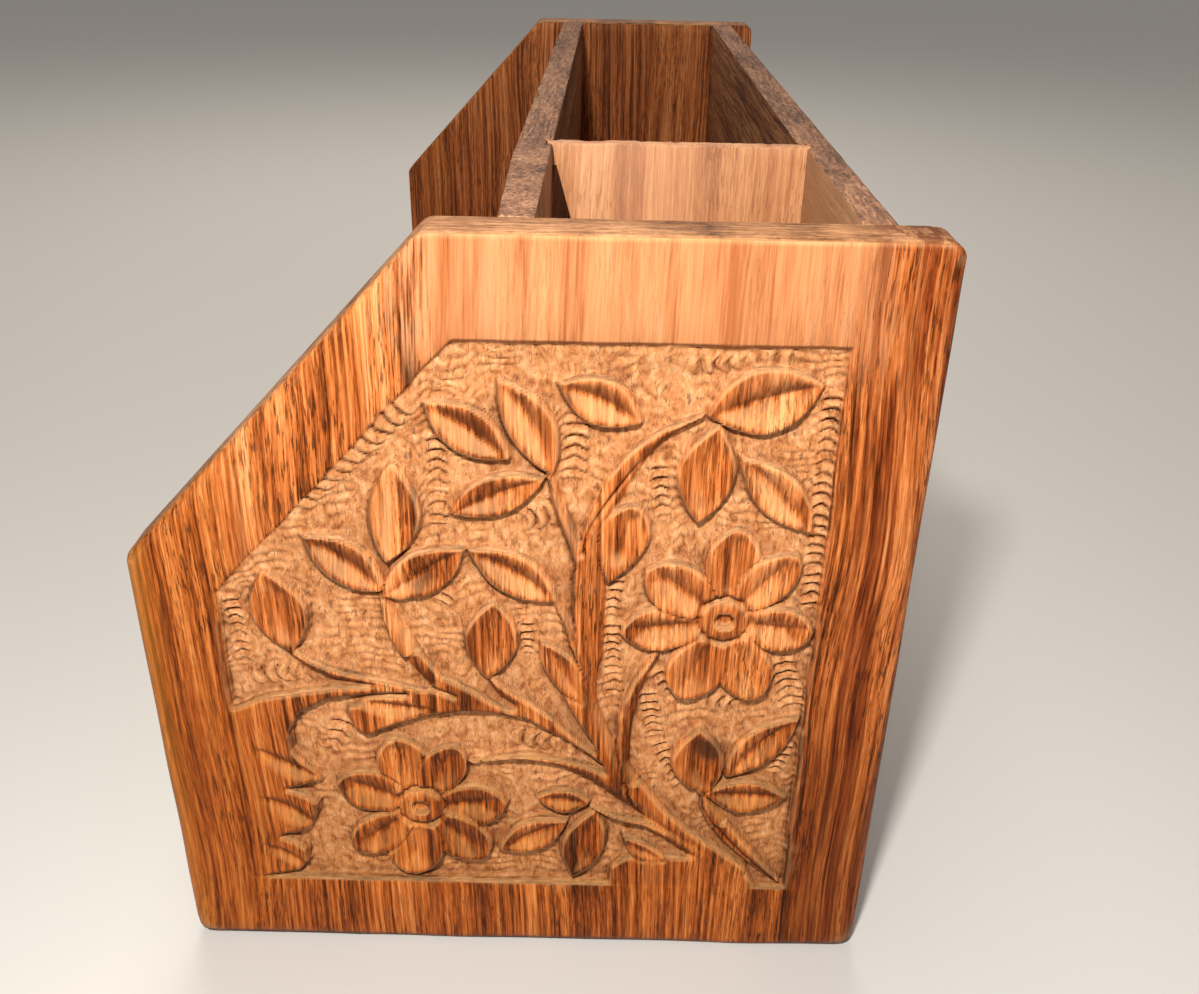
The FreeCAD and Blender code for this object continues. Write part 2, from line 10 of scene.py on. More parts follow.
import bpy
import numpy as np
from mathutils import Euler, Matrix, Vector

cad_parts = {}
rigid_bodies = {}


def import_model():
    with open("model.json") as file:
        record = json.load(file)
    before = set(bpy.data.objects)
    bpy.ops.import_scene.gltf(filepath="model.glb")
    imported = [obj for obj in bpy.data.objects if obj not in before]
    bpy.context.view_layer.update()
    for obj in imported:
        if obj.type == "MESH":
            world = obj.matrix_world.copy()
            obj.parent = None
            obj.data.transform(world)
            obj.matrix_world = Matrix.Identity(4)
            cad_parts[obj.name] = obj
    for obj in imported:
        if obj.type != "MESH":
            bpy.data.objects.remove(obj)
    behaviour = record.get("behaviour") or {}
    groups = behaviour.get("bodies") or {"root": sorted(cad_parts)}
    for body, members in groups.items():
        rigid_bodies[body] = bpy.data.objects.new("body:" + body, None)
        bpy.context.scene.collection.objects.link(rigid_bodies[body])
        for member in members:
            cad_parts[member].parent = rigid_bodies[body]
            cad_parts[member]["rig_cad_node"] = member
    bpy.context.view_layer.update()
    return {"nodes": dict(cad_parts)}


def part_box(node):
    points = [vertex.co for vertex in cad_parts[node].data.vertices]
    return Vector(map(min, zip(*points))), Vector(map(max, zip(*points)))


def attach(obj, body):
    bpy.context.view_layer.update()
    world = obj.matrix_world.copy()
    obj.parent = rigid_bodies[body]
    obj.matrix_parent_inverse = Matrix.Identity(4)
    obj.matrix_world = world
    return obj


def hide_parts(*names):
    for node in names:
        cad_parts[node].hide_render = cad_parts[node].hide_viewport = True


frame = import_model()

MM = 0.001

# -------- camera, lights and floor
CAMERA_PLACE = (10.6, -246.2, 145.4)
CAMERA_PITCH = -27.82
CAMERA_YAW = 0.16
CAMERA_ROLL = 1.15
CAMERA_LENS = 34.6
CAMERA_SENSOR = 36.0
CAMERA_NEAREST = 10.0
FLOOR_REACH = 4000.0
FLOOR_COLOUR = (0.62, 0.61, 0.59)
FLOOR_ROUGHNESS = 0.8
SKY_COLOUR = (1.0, 0.97, 0.93)
SKY_STRENGTH = 0.16

# A light is (name, kind, place, aim, spread, power, colour). The spread of an AREA light is the side of
# its square. A SUN is so far off that it is even over the whole floor, and its spread is in degrees.
LIGHTS = [
    ("key", "AREA", (-14, -258, 222), (0, -115, 60), 16, 0.78, (1.0, 0.96, 0.90)),
    ("fill", "SUN", (630, -690, 315), (0, 0, 0), 34, 0.225, (0.95, 0.97, 1.0)),
    ("back", "AREA", (-60, 380, 620), (0, 60, 60), 400, 2.4, (1.0, 0.90, 0.80)),
    ("sky", "SUN", (-60, 320, 560), (0, 0, 0), 35, 0.62, (1.0, 0.90, 0.80)),
]

# -------- end panels
PANEL_CORNER_RADIUS = 2.6
PANEL_RIM_RADIUS = 1.5
BACK_RIM = 1.1
BACK_MIDDLE = (3.0, 50.0)
CHAMFER_WIDTH = 40.5
CHAMFER_HEIGHT = 43.5
FIELD_LEFT_LOW = -41.0
FIELD_LEFT_HIGH = -39.8
FIELD_SHOULDER = 63.2
FIELD_TOP_LEFT = -7.5
FIELD_RIGHT = 39.1
FIELD_BOTTOM = 12.7
FIELD_TOP = 98.5
FIELD_LEAN = (FIELD_LEFT_HIGH - FIELD_LEFT_LOW) / (FIELD_SHOULDER - FIELD_BOTTOM)
FIELD_MARGIN = 0.6
FIELD_COLUMNS = 284
FIELD_ROWS = 300
FIELD_DEPTH = 1.5
GROUND_CLEARANCE = 0.3
LOW_SINK = 0.35
LOW_SINK_WIDTH = 30.0
EDGE_RISE = 0.75
EDGE_RISE_WIDTH = 4.5
WALL_RUN = 0.55
WORN_EDGE = 0.20
PATCH_DROP = 0.12
STEM_TILT = 0.9
VALLEY_DEPTH = 1.75
VALLEY_SLOPE = 0.55
VALLEY_BEND = 1.25
KNIFE_DEPTH = 0.65
KNIFE_WIDTH = 0.26
HOLE_RADIUS = 1.35
HOLE_DEPTH = 1.0
LOOSE_PITCH = 1.45
RIM_STEPS = (0.0, 0.12, 0.4, 0.9, 1.7, 3.3, 5.8, 8.4)
CARVED_SMOOTH_ANGLE = 60.0

# A leaf is two arcs between its tips, hollowed to a valley: (tip, tip, bulge to the left of the way,
# bulge to the right).
LEAVES = [
    ((-11.3, 90.7), (-0.8, 83.2), 3.5, 3.2), ((-2.2, 94.2), (4.4, 81.0), 3.9, 2.4),
    ((-8.7, 75.5), (3.5, 80.8), 3.0, 2.8), ((5.0, 93.5), (15.3, 88.4), 3.6, 3.0),
    ((23.0, 89.6), (36.8, 94.0), 4.4, 4.6), ((24.6, 88.6), (22.6, 74.6), 3.4, 3.8),
    ((27.5, 84.3), (37.4, 73.6), 3.2, 2.9), ((-15.4, 82.8), (-17.2, 67.8), 4.2, 2.6),
    ((-27.7, 72.0), (-17.4, 63.6), 3.6, 3.2), ((-18.2, 62.7), (-6.8, 70.6), 3.2, 3.3),
    ((-6.5, 70.4), (5.2, 62.6), 3.5, 3.0), ((-3.3, 62.8), (-4.5, 49.8), 3.7, 3.6),
    ((-33.2, 66.8), (-30.6, 53.6), 4.0, 3.8), ((2.8, 56.6), (8.6, 46.0), 2.6, 2.2),
    ((-3.8, 18.6), (6.6, 24.8), 3.0, 3.0), ((10.6, 27.2), (7.2, 13.2), 3.2, 3.2),
    ((1.8, 29.2), (10.0, 28.4), 2.2, 2.6), ((38.6, 44.6), (28.8, 33.4), 2.6, 3.4),
    ((24.8, 42.4), (26.2, 29.8), 3.2, 4.4), ((26.0, 30.6), (38.2, 30.2), 2.8, 3.6),
    ((14.6, 22.0), (21.4, 17.4), 1.0, 2.4),
]

# A scoop is a leaf's hollow cut straight into a raised stretch, with no wall of its own.
SCOOPS = [
    ((-38.5, 37.6), (-27.2, 31.0), 1.8, 2.8), ((-38.5, 28.4), (-29.2, 22.2), 2.8, 2.4),
    ((-39.4, 19.4), (-31.2, 13.6), 1.9, 1.2), ((-24.4, 46.4), (-11.0, 44.6), 1.4, 2.6),
]

# A bud is a petal that grows out of a stem: (base, direction in degrees, length, half width).
BUDS = [((11.4, 65.4), 74.0, 12.6, 3.3)]

# A knife cut is a thin line along the edge of a stem.
KNIFE_CUTS = [
    [(21.6, 88.0), (18.4, 86.0), (13.6, 81.0), (9.4, 74.4), (8.2, 70.0)],
    [(-16.0, 47.1), (-20.0, 46.8), (-24.0, 46.2)], [(-9.0, 47.0), (-12.4, 48.6), (-14.6, 50.6)],
    [(-20.0, 40.5), (-13.5, 43.2), (-9.0, 44.1), (-4.0, 44.1), (1.0, 43.0)],
    [(14.6, 32.2), (15.9, 27.9), (17.4, 25.6)], [(24.6, 31.2), (27.0, 26.0), (32.0, 19.4), (37.6, 13.8)],
]

# A flower is (centre, disc radius, petals); a petal is (direction in degrees, length, half width).
FLOWERS = [
    ((27.0, 60.3), 3.2, [
        (86, 14.2, 3.6), (49, 13.6, 3.3), (-10, 12.2, 3.7), (-68, 14.0, 3.9),
        (-112, 14.2, 4.0), (190, 13.8, 3.7), (143, 13.0, 4.0),
    ]),
    ((-14.8, 26.8), 3.2, [
        (104, 13.2, 4.0), (64, 13.0, 3.4), (4, 12.6, 4.1), (-46, 13.6, 3.9),
        (-99, 13.6, 4.4), (-140, 13.6, 3.6), (158, 12.8, 3.9),
    ]),
]

# A stem is its centre line and its width at each point: (x, z, width).
STEMS = [
    [(22.5, 89.6, 0.8), (17.4, 86.6, 1.9), (13.2, 81.6, 2.6), (10.6, 75.0, 3.4), (9.4, 68.0, 4.4),
     (9.2, 61.5, 4.2), (9.4, 55.0, 3.6), (9.0, 48.0, 2.6), (10.8, 41.0, 2.8), (13.6, 34.6, 3.6),
     (16.6, 29.6, 4.2), (20.6, 24.8, 3.6), (25.4, 20.6, 3.4), (31.5, 15.6, 3.6)],
    [(18.6, 55.0, 0.6), (16.2, 50.0, 1.8), (14.6, 44.0, 2.2), (14.3, 38.0, 1.8), (15.0, 33.0, 1.6),
     (16.6, 28.4, 1.4)],
    [(26.0, 30.8, 0.8), (28.0, 25.6, 2.8), (32.0, 20.0, 3.0), (37.8, 13.8, 1.4)],
    [(-31.4, 54.2, 1.2), (-27.0, 50.8, 2.2), (-22.0, 49.4, 1.8), (-15.0, 47.8, 1.6)],
    [(-17.8, 63.2, 1.0), (-16.4, 57.4, 2.6), (-13.2, 51.8, 2.8), (-9.4, 47.6, 2.4), (-3.4, 45.0, 1.4)],
    [(-4.4, 50.4, 0.6), (-2.0, 47.4, 2.2), (3.8, 43.2, 1.8)],
    [(5.4, 51.4, 2.8), (7.2, 48.2, 3.4), (9.0, 43.4, 2.6), (11.6, 38.2, 1.6)],
    [(4.6, 63.2, 0.6), (6.8, 58.4, 1.8), (8.6, 53.0, 1.8)],
    [(4.0, 81.4, 0.6), (5.6, 76.0, 1.6), (7.8, 70.0, 2.0), (8.8, 63.8, 1.8)],
    [(-7.4, 35.2, 0.5), (-1.0, 36.2, 1.4), (3.4, 35.8, 1.9), (7.6, 34.6, 2.6), (11.2, 32.6, 3.0),
     (15.6, 29.0, 3.0)],
    [(10.0, 27.4, 0.8), (13.6, 25.3, 1.6), (17.6, 24.2, 1.8), (22.4, 21.2, 2.4), (27.2, 17.4, 3.0)],
]

# A patch is a stretch of the border's level that was left standing in the field, by its outline.
PATCHES = [
    [(-43.0, 44.6), (-39.4, 44.3), (-36.0, 46.1), (-31.0, 47.3), (-26.0, 48.2), (-21.2, 48.5),
     (-18.0, 48.9), (-15.5, 48.4), (-12.8, 48.1), (-11.4, 50.8), (-9.0, 49.8), (-6.5, 48.2), (-3.8, 46.2),
     (-1.2, 44.6), (0.2, 47.4), (2.8, 45.3), (5.0, 42.9), (7.2, 40.5), (9.4, 38.3), (12.0, 36.5),
     (13.2, 33.9), (9.3, 37.3), (5.7, 40.0), (1.0, 42.8), (-4.0, 43.9), (-9.0, 43.9), (-13.5, 43.0),
     (-17.0, 41.7), (-20.6, 40.2), (-22.0, 39.7), (-23.4, 41.0), (-24.1, 43.0), (-23.9, 45.0),
     (-20.0, 46.6), (-15.6, 47.1), (-20.0, 47.1), (-24.0, 46.5), (-26.5, 45.9), (-29.0, 44.6),
     (-31.0, 43.0), (-32.3, 40.0), (-32.4, 37.0), (-31.2, 34.9), (-29.6, 33.0), (-28.6, 31.2),
     (-31.5, 30.4), (-34.0, 29.7), (-31.2, 28.6), (-29.6, 27.4), (-29.8, 25.0), (-31.0, 22.6),
     (-33.0, 21.3), (-36.0, 20.6), (-33.6, 19.6), (-32.3, 18.2), (-32.2, 15.6), (-33.6, 13.6),
     (-37.0, 12.9), (-43.0, 11.6)],
    [(12.6, 11.6), (12.9, 16.0), (14.5, 17.8), (16.5, 18.7), (19.0, 18.9), (21.5, 18.4), (24.6, 18.4),
     (26.4, 19.0), (30.5, 17.0), (34.0, 14.4), (35.5, 11.6)],
]

# A row of gouge ticks runs from one point to another: (start, end, half length of a tick, pitch).
TICK_ROWS = [
    ((37.9, 93.5), (38.2, 62.0), 1.1, 1.45), ((35.0, 54.5), (37.6, 45.4), 1.5, 1.5),
    ((37.6, 40.0), (36.0, 33.4), 1.0, 1.4), ((8.2, 50.4), (10.0, 39.0), 0.7, 1.25),
    ((12.9, 67.0), (12.1, 60.0), 0.9, 1.4), ((12.1, 60.0), (12.8, 46.6), 1.0, 1.35),
    ((17.2, 48.6), (18.8, 39.6), 1.1, 1.35), ((18.8, 39.6), (23.0, 30.6), 1.0, 1.35),
    ((-38.2, 63.0), (-37.6, 51.0), 1.0, 1.4), ((-9.9, 87.0), (-10.0, 73.4), 1.1, 1.5),
    ((7.6, 89.6), (6.9, 80.0), 1.3, 1.6), ((17.4, 83.6), (18.4, 75.0), 0.9, 1.4),
    ((-8.6, 63.8), (-10.4, 61.4), 0.9, 1.2), ((0.9, 59.8), (1.0, 53.6), 0.8, 1.25),
    ((-28.2, 76.2), (-13.2, 90.6), 1.4, 1.9), ((5.4, 76.0), (0.4, 74.2), 1.2, 1.7),
    ((-37.4, 49.0), (-28.0, 50.4), 1.2, 1.9), ((17.6, 52.0), (20.6, 48.4), 1.0, 1.5),
    ((24.0, 46.6), (31.0, 45.6), 1.1, 1.7), ((-2.0, 39.6), (9.0, 37.6), 1.2, 2.0),
    ((-24.0, 43.0), (-27.5, 36.0), 1.4, 2.0), ((20.0, 95.6), (33.0, 97.2), 0.9, 1.8),
    ((15.6, 71.4), (12.6, 67.0), 0.9, 1.5),
]

# -------- boards
END_RADIUS = 0.35
BOARD_SMOOTH_ANGLE = 40.0
PLAIN_STEP = 3.0
RUNNING_GAP = 0.3
GROOVE_GAP = 0.2
GROOVE_DEPTH = 2.2
REBATE_DEPTH = 1.0
NOTCH_WIDTH = 1.1
NOTCH_DEPTH = 3.4
HORN_LENGTH = 0.9
HORN_HEIGHT = 3.1
SLANT_WIDTH = 3.2
SLANT_FOOT = 98.0
SLAT_THIN = 4.5
SLAT_TAPER = 33.5
SLAT_GROOVE = 2.0
NOISE_CELLS = 128

# -------- wood
# Places along the grain, across it and into the wood, as axes, for a grain along each axis.
GRAIN_ORDER = {"X": (1, 2, 0), "Y": (0, 2, 1), "Z": (0, 1, 2)}
ALONG_WAVE = 0.018
ACROSS_WAVE = 0.02

# The figure's layers, from growth bands, streaks, fibre, veins, pores and patches to the dark heart:
# (scale across the grain, scale along it, detail, roughness).
FIGURES = [(0.22, 0.006, 3.0, 0.55), (1.7, 0.030, 3.0, 0.6), (5.0, 0.25, 3.0, 0.7), (2.5, 0.045, 2.0, 0.55),
           (3.8, 0.30, 2.0, 0.6), (0.14, 0.03, 2.0, 0.5), (0.33, 0.010, 5.0, 0.62)]
TONE_LOW = 0.36
TONE_RUN = 0.28
PORE_SHARE = 0.35
RELIEF = 0.15
SAWN_STOPS = (0.36, 0.5, 0.64)
SAWN_ROUGHNESS = 0.82
WALL_SAW_SCALE = (2.4, 0.2, 1.0)
SLAT_SAW_SCALE = (1.8, 1.8, 1.0)
HEART_COLOUR = (0.11, 0.032, 0.020)
CARVED_COLOURS = [(0.050, 0.012, 0.003), (0.21, 0.046, 0.008), (0.46, 0.120, 0.026), (0.67, 0.215, 0.058),
                  (0.80, 0.330, 0.125)]
CARVED_SAWN = ((0.09, 0.035, 0.014), (0.32, 0.140, 0.058), (0.55, 0.28, 0.130))
CARVED_HEART = (0.125, 0.028, 0.006)
CALM_COLOURS = ((0.38, 0.125, 0.044), (0.55, 0.220, 0.090), (0.63, 0.285, 0.130))
TORN_STOPS = [(0.30, (0.24, 0.075, 0.022)), (0.44, (0.48, 0.190, 0.068)), (0.58, (0.62, 0.295, 0.125)),
              (0.74, (0.77, 0.44, 0.23))]
# A painted highlight along the near panel's rounded left rim, where the light catches it.
GOLDEN_RIM_HIGHLIGHT = (0.60, 0.235, 0.035)
KNOT_COLOUR = (0.045, 0.014, 0.006)
KNOT_PLACE = (26.3, 38.6)
KNOT_RADIUS = 2.3
WALL_COLOURS = [(0.05, 0.018, 0.010), (0.14, 0.050, 0.020), (0.27, 0.105, 0.040), (0.40, 0.18, 0.07),
                (0.52, 0.26, 0.11)]
WALL_SAWN = ((0.035, 0.017, 0.010), (0.21, 0.092, 0.046), (0.44, 0.225, 0.118))
WELL_FACE = (0.50, 0.27, 0.14)
PALE_COLOURS = [(0.36, 0.140, 0.055), (0.47, 0.195, 0.080), (0.56, 0.25, 0.105), (0.62, 0.30, 0.135),
                (0.68, 0.36, 0.180)]
INSIDE_COLOURS = [(0.20, 0.09, 0.04), (0.38, 0.20, 0.095), (0.52, 0.31, 0.16), (0.62, 0.40, 0.23)]

# The nodes that keep their CAD shape have their grain along Y, apart from these.
KEPT_GRAIN = {"slat_guide_near": "Z", "slat_guide_far": "Z", "bolt_peg": "Z", "drawer_bottom": "X"}
RICH_NODES = ("deck_board", "lock_bolt", "bolt_peg")
MIX_SOCKETS = {"RGBA": (6, 2), "FLOAT": (2, 0)}


# -------- plain helpers
def smooth_step(t):
    """0 below 0, 1 above 1, and a smooth rise between."""
    t = np.clip(t, 0.0, 1.0)
    return t * t * (3.0 - 2.0 * t)


def value_noise(u, v, seed):
    """Smooth noise from -1 to 1 with one cell per unit, at arrays of points."""
    table = np.random.default_rng(seed).uniform(-1.0, 1.0, (NOISE_CELLS, NOISE_CELLS))
    column = np.floor(u).astype(int)
    row = np.floor(v).astype(int)
    across = smooth_step(u - column)
    up = smooth_step(v - row)
    column, next_column = column % NOISE_CELLS, (column + 1) % NOISE_CELLS
    row, next_row = row % NOISE_CELLS, (row + 1) % NOISE_CELLS
    low = table[row, column] * (1 - across) + table[row, next_column] * across
    high = table[next_row, column] * (1 - across) + table[next_row, next_column] * across
    return low * (1 - up) + high * up


def linked(name, data):
    """A new object in the scene that holds some data."""
    thing = bpy.data.objects.new(name, data)
    bpy.context.scene.collection.objects.link(thing)
    return thing


def link_mesh(name, points_mm, faces, body, node, smooth_angle):
    """A mesh object from points in millimetres, riding on a body in place of a CAD node."""
    mesh = bpy.data.meshes.new(name)
    mesh.from_pydata((np.asarray(points_mm) * MM).tolist(), [], faces)
    mesh.validate()
    mesh.update()
    mesh.polygons.foreach_set("use_smooth", [True] * len(mesh.polygons))
    mesh.set_sharp_from_angle(angle=math.radians(smooth_angle))
    piece = linked(name, mesh)
    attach(piece, body)
    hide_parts(node)
    return piece


def node_box(node):
    """Both corners of a CAD node in millimetres, as arrays."""
    low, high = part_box(node)
    return np.array(low) / MM, np.array(high) / MM


def line_parts(x, z, start, end):
    """A line's length and way, and how far each point is along it and to the left of it."""
    run = math.hypot(end[0] - start[0], end[1] - start[1])
    way = ((end[0] - start[0]) / run, (end[1] - start[1]) / run)
    along = (x - start[0]) * way[0] + (z - start[1]) * way[1]
    aside = (z - start[1]) * way[0] - (x - start[0]) * way[1]
    return run, way, along, aside


def from_segment(x, z, start, end):
    """The place on a segment, from 0 to 1, that each point is nearest to, and its offset from there."""
    run = np.subtract(end, start)
    along = np.clip(((x - start[0]) * run[0] + (z - start[1]) * run[1]) / run.dot(run), 0.0, 1.0)
    return along, x - start[0] - along * run[0], z - start[1] - along * run[1]


# -------- the carving's height
def tilt_share(way_x, way_z):
    """How far a side that faces this way looks up and to the left, from 0 (not at all) to 1."""
    return 0.5 + 0.5 * (way_z * 0.85 - way_x * 0.53)


def leaf_parts(x, z, start, end, left, right):
    """How far inside a leaf's left and right outlines each point is."""
    run, way, along, aside = line_parts(x, z, start, end)
    along = along / run
    bow = 4.0 * along * (1.0 - along)
    steepness = 4.0 * (1.0 - 2.0 * along) / run
    from_left = (left * bow - aside) / np.sqrt(1.0 + (left * steepness) ** 2)
    from_right = (right * bow + aside) / np.sqrt(1.0 + (right * steepness) ** 2)
    return from_left, from_right, tilt_share(-way[1], way[0])


def hollow(from_left, from_right, left_up):
    """The fall of a leaf's valley: ever steeper from its upper edge to the crease, even from its lower."""
    half = np.maximum(from_left + from_right, 0.02) / 2
    from_left = np.clip(from_left / half, 0.0, 1.0)
    from_right = np.clip(from_right / half, 0.0, 1.0)
    shape = np.minimum(from_left ** (0.95 + VALLEY_BEND * left_up),
                       from_right ** (0.95 + VALLEY_BEND * (1.0 - left_up)))
    return VALLEY_DEPTH * (1.0 - np.exp(-VALLEY_SLOPE * half / VALLEY_DEPTH)) * shape


def curved(points, parts=5):
    """A stem's points with more between them, on a smooth curve through all of them."""
    line = np.array(points)
    ends = np.vstack([2 * line[0] - line[1], line, 2 * line[-1] - line[-2]])
    out = []
    for a, b, c, d in zip(ends[:-3], ends[1:-2], ends[2:-1], ends[3:]):
        for t in np.arange(parts) / parts:
            out.append(0.5 * (2 * b + (c - a) * t + (2 * a - 5 * b + 4 * c - d) * t ** 2
                              + (3 * b - a - 3 * c + d) * t ** 3))
    out.append(line[-1])
    return out


def stem_parts(x, z, points):
    """How far inside a stem each point is, and how far across it, from 0 at its upper left to 1."""
    inside = np.full(x.shape, -99.0)
    across = np.zeros(x.shape)
    for (*start, width0), (*end, width1) in zip(points[:-1], points[1:]):
        along, off_x, off_z = from_segment(x, z, start, end)
        way_x, way_z = np.subtract(end, start) / math.dist(start, end)
        half = (width0 + (width1 - width0) * along) / 2
        depth = half - np.hypot(off_x, off_z)
        side = off_z * way_x - off_x * way_z
        if tilt_share(-way_z, way_x) > 0.5:
            side = -side
        nearer = depth > inside
        inside = np.where(nearer, depth, inside)
        across = np.where(nearer, 0.5 + 0.5 * np.clip(side / np.maximum(half, 0.1), -1.0, 1.0), across)
    return inside, across


def patch_inside(x, z, corners):
    """How far inside a closed outline each point is, negative outside it."""
    nearest = np.full(x.shape, 1e9)
    odd = np.zeros(x.shape, dtype=bool)
    for (x0, z0), (x1, z1) in zip(corners, corners[1:] + corners[:1]):
        _, off_x, off_z = from_segment(x, z, (x0, z0), (x1, z1))
        nearest = np.minimum(nearest, np.hypot(off_x, off_z))
        if z0 != z1:
            crossing = (z0 > z) != (z1 > z)
            odd ^= crossing & (x < x0 + (z - z0) * (x1 - x0) / (z1 - z0))
    return np.where(odd, nearest, -nearest)


def beyond_slant(x, z):
    """How far outside the sunk field's slanted side each point is."""
    return line_parts(x, z, (FIELD_LEFT_HIGH, FIELD_SHOULDER), (FIELD_TOP_LEFT, FIELD_TOP))[3]


def scallop(wave):
    """A round hump between sharp grooves, once for each unit."""
    return 1.0 - np.abs(2.0 * (wave - np.floor(wave)) - 1.0) ** 1.7


class CarvedFace:
    """The outside face at arrays of points: its height, 0 at the border, and where it is raised."""

    def __init__(self, x, z, seed):
        self.x = x
        self.z = z
        self.seed = seed
        self.ground = self.sunk_ground()
        self.height = self.ground
        self.cover = np.zeros(x.shape)
        self.swell = self.noise(0.05, 9.0, 16.0, 6) - 0.05

    def noise(self, size, width, height, number):
        """Unevenness of some size, in cells of some width and height."""
        return size * value_noise(self.x / width, self.z / height, self.seed + number)

    def sunk_ground(self):
        """The ground: uneven and fibrous, ticked with gouge marks, shallow along its upper sides."""
        from_top = np.minimum(FIELD_TOP - self.z, -beyond_slant(self.x, self.z))
        ground = EDGE_RISE * smooth_step(1.0 - from_top / EDGE_RISE_WIDTH) - FIELD_DEPTH
        ground -= LOW_SINK * smooth_step((FIELD_SHOULDER - self.z) / LOW_SINK_WIDTH)
        ground += self.noise(0.22, 3.2, 4.4, 2)
        ground += 0.10 * value_noise(self.x / 0.7 + 0.2 * self.z, self.z / 2.4, self.seed + 3)
        ground += self.noise(0.07, 0.42, 0.9, 4)
        return ground + self.ticks()

    def ticks(self):
        """The gouge marks, as a height to add: loose ripples, and tight rows along the edges."""
        loose = (self.z + self.noise(1.6, 2.1, 4.5, 15)) / LOOSE_PITCH
        marks = 0.33 * (scallop(loose) - 0.5) * smooth_step(0.5 + self.noise(1.0, 2.6, 4.0, 16))
        for start, end, half, pitch in TICK_ROWS:
            run, _, along, aside = line_parts(self.x, self.z, start, end)
            window = smooth_step((1.5 * half - np.abs(aside)) / 0.7) * smooth_step(along / 0.8)
            window *= smooth_step((run - along) / 0.8)
            bend = 0.32 * aside ** 2 / half + 0.30 * value_noise(along / 2.0, aside, self.seed + 5)
            strong = 0.85 + 0.3 * value_noise(along / 3.0, aside / 3.0, self.seed + 9)
            tight = strong * (0.95 * scallop((along - bend) / pitch) - 0.35)
            marks = marks * (1.0 - window) + window * tight
        return marks

    def raise_piece(self, inside, top):
        """Raises one piece of the ornament, given how far inside it each point is."""
        wall = smooth_step(inside / WALL_RUN + 0.5)
        worn_top = top - WORN_EDGE * smooth_step(1.0 - inside / 0.7)
        self.height = np.maximum(self.height, self.ground * (1.0 - wall) + worn_top * wall)
        self.cover = np.maximum(self.cover, wall)

    def raise_hollowed(self, inside, valley):
        """Raises a piece with a valley in it, in place of what was there."""
        place = smooth_step((inside - 0.1) / WALL_RUN + 0.5)
        self.height = self.height - place * (self.height + FIELD_DEPTH)
        self.raise_piece(inside, self.swell - valley)

    def cut(self, depth, run=0.8):
        """Cuts into what stands above the sunk ground."""
        standing = smooth_step((self.height + FIELD_DEPTH - GROUND_CLEARANCE) / run)
        self.height = self.height - depth * standing

    def raise_border(self):
        """The border round the sunk field, with a hand-cut waver along its edge."""
        beyond = [
            self.x - FIELD_RIGHT,
            self.z - FIELD_TOP,
            FIELD_BOTTOM - self.z,
            FIELD_LEFT_LOW + FIELD_LEAN * (self.z - FIELD_BOTTOM) - self.x,
            beyond_slant(self.x, self.z),
        ]
        waver = self.noise(0.16, 5.0, 5.0, 0) + self.noise(0.10, 1.6, 1.6, 1)
        self.raise_piece(np.max(beyond, axis=0) + waver, self.swell)

    def raise_stem(self, points):
        """A stem, which leans down from its upper left side."""
        inside, across = stem_parts(self.x, self.z, curved(points))
        tilt = STEM_TILT * smooth_step(across * 1.25 - 0.25) ** 1.3
        self.raise_piece(inside + self.noise(0.14, 1.8, 1.8, 7), self.swell - tilt)

    def raise_leaf(self, leaf):
        """A leaf, hollowed from both of its edges to a crease."""
        from_left, from_right, left_up = leaf_parts(self.x, self.z, *leaf)
        inside = np.minimum(from_left, from_right) + self.noise(0.07, 1.3, 1.3, 8)
        self.raise_hollowed(inside, hollow(from_left, from_right, left_up))

    def raise_petal(self, base, angle, length, half_width):
        """A hollowed petal that grows from a base point in a direction given in degrees."""
        turn = math.radians(angle)
        tip = (base[0] + length * math.cos(turn), base[1] + length * math.sin(turn))
        length, way, along, aside = line_parts(self.x, self.z, base, tip)
        share = np.clip(along / length, 0.0, 1.0)
        width = half_width * np.sin(math.pi * share ** 1.45) ** 0.62
        to_left = (width - aside) * 0.85
        to_right = (width + aside) * 0.85
        inside = np.minimum(np.minimum(to_left, to_right), np.minimum((length - along) * 0.8, along))
        valley = hollow(to_left, to_right, tilt_share(-way[1], way[0]))
        from_tip = np.maximum(length - along, 0.0)
        valley = np.minimum(valley, 0.24 * from_tip ** (1.0 + 0.4 * tilt_share(*way)))
        self.raise_hollowed(inside, valley * (0.3 + 0.7 * smooth_step((along - 2.2) / 3.0)))

    def raise_flower(self, middle, disc_radius, petals):
        """A flower: hollowed petals round a drilled disc."""
        for petal in petals:
            self.raise_petal(middle, *petal)
        radius = np.hypot(self.x - middle[0], self.z - middle[1])
        self.cut(0.75 * np.exp(-((radius - disc_radius - 0.25) / 0.38) ** 2), 0.6)
        disc = smooth_step((disc_radius - radius) / 0.4)
        dome = -0.10 - 0.045 * radius ** 2
        hole_edge = HOLE_RADIUS + 0.2 * value_noise(self.x / 0.9, self.z / 0.9, 91)
        self.height = self.height * (1.0 - disc) + dome * disc
        self.height = self.height - HOLE_DEPTH * smooth_step((hole_edge - radius) / 0.35)

    def carve(self):
        """Everything on the face, in the order in which the pieces overlap."""
        self.raise_border()
        for corners in PATCHES:
            inside = patch_inside(self.x, self.z, corners) + self.noise(0.16, 1.5, 1.5, 13)
            self.raise_piece(inside, self.swell - PATCH_DROP)
        for points in STEMS:
            self.raise_stem(points)
        for leaf in LEAVES:
            self.raise_leaf(leaf)
        for scoop in SCOOPS:
            self.cut(hollow(*leaf_parts(self.x, self.z, *scoop)))
        for petal in BUDS:
            self.raise_petal(*petal)
        for flower in FLOWERS:
            self.raise_flower(*flower)
        for line in KNIFE_CUTS:
            gap = -stem_parts(self.x, self.z, curved([(*point, 0.0) for point in line]))[0]
            self.cut(KNIFE_DEPTH * np.exp(-(gap / KNIFE_WIDTH) ** 2))


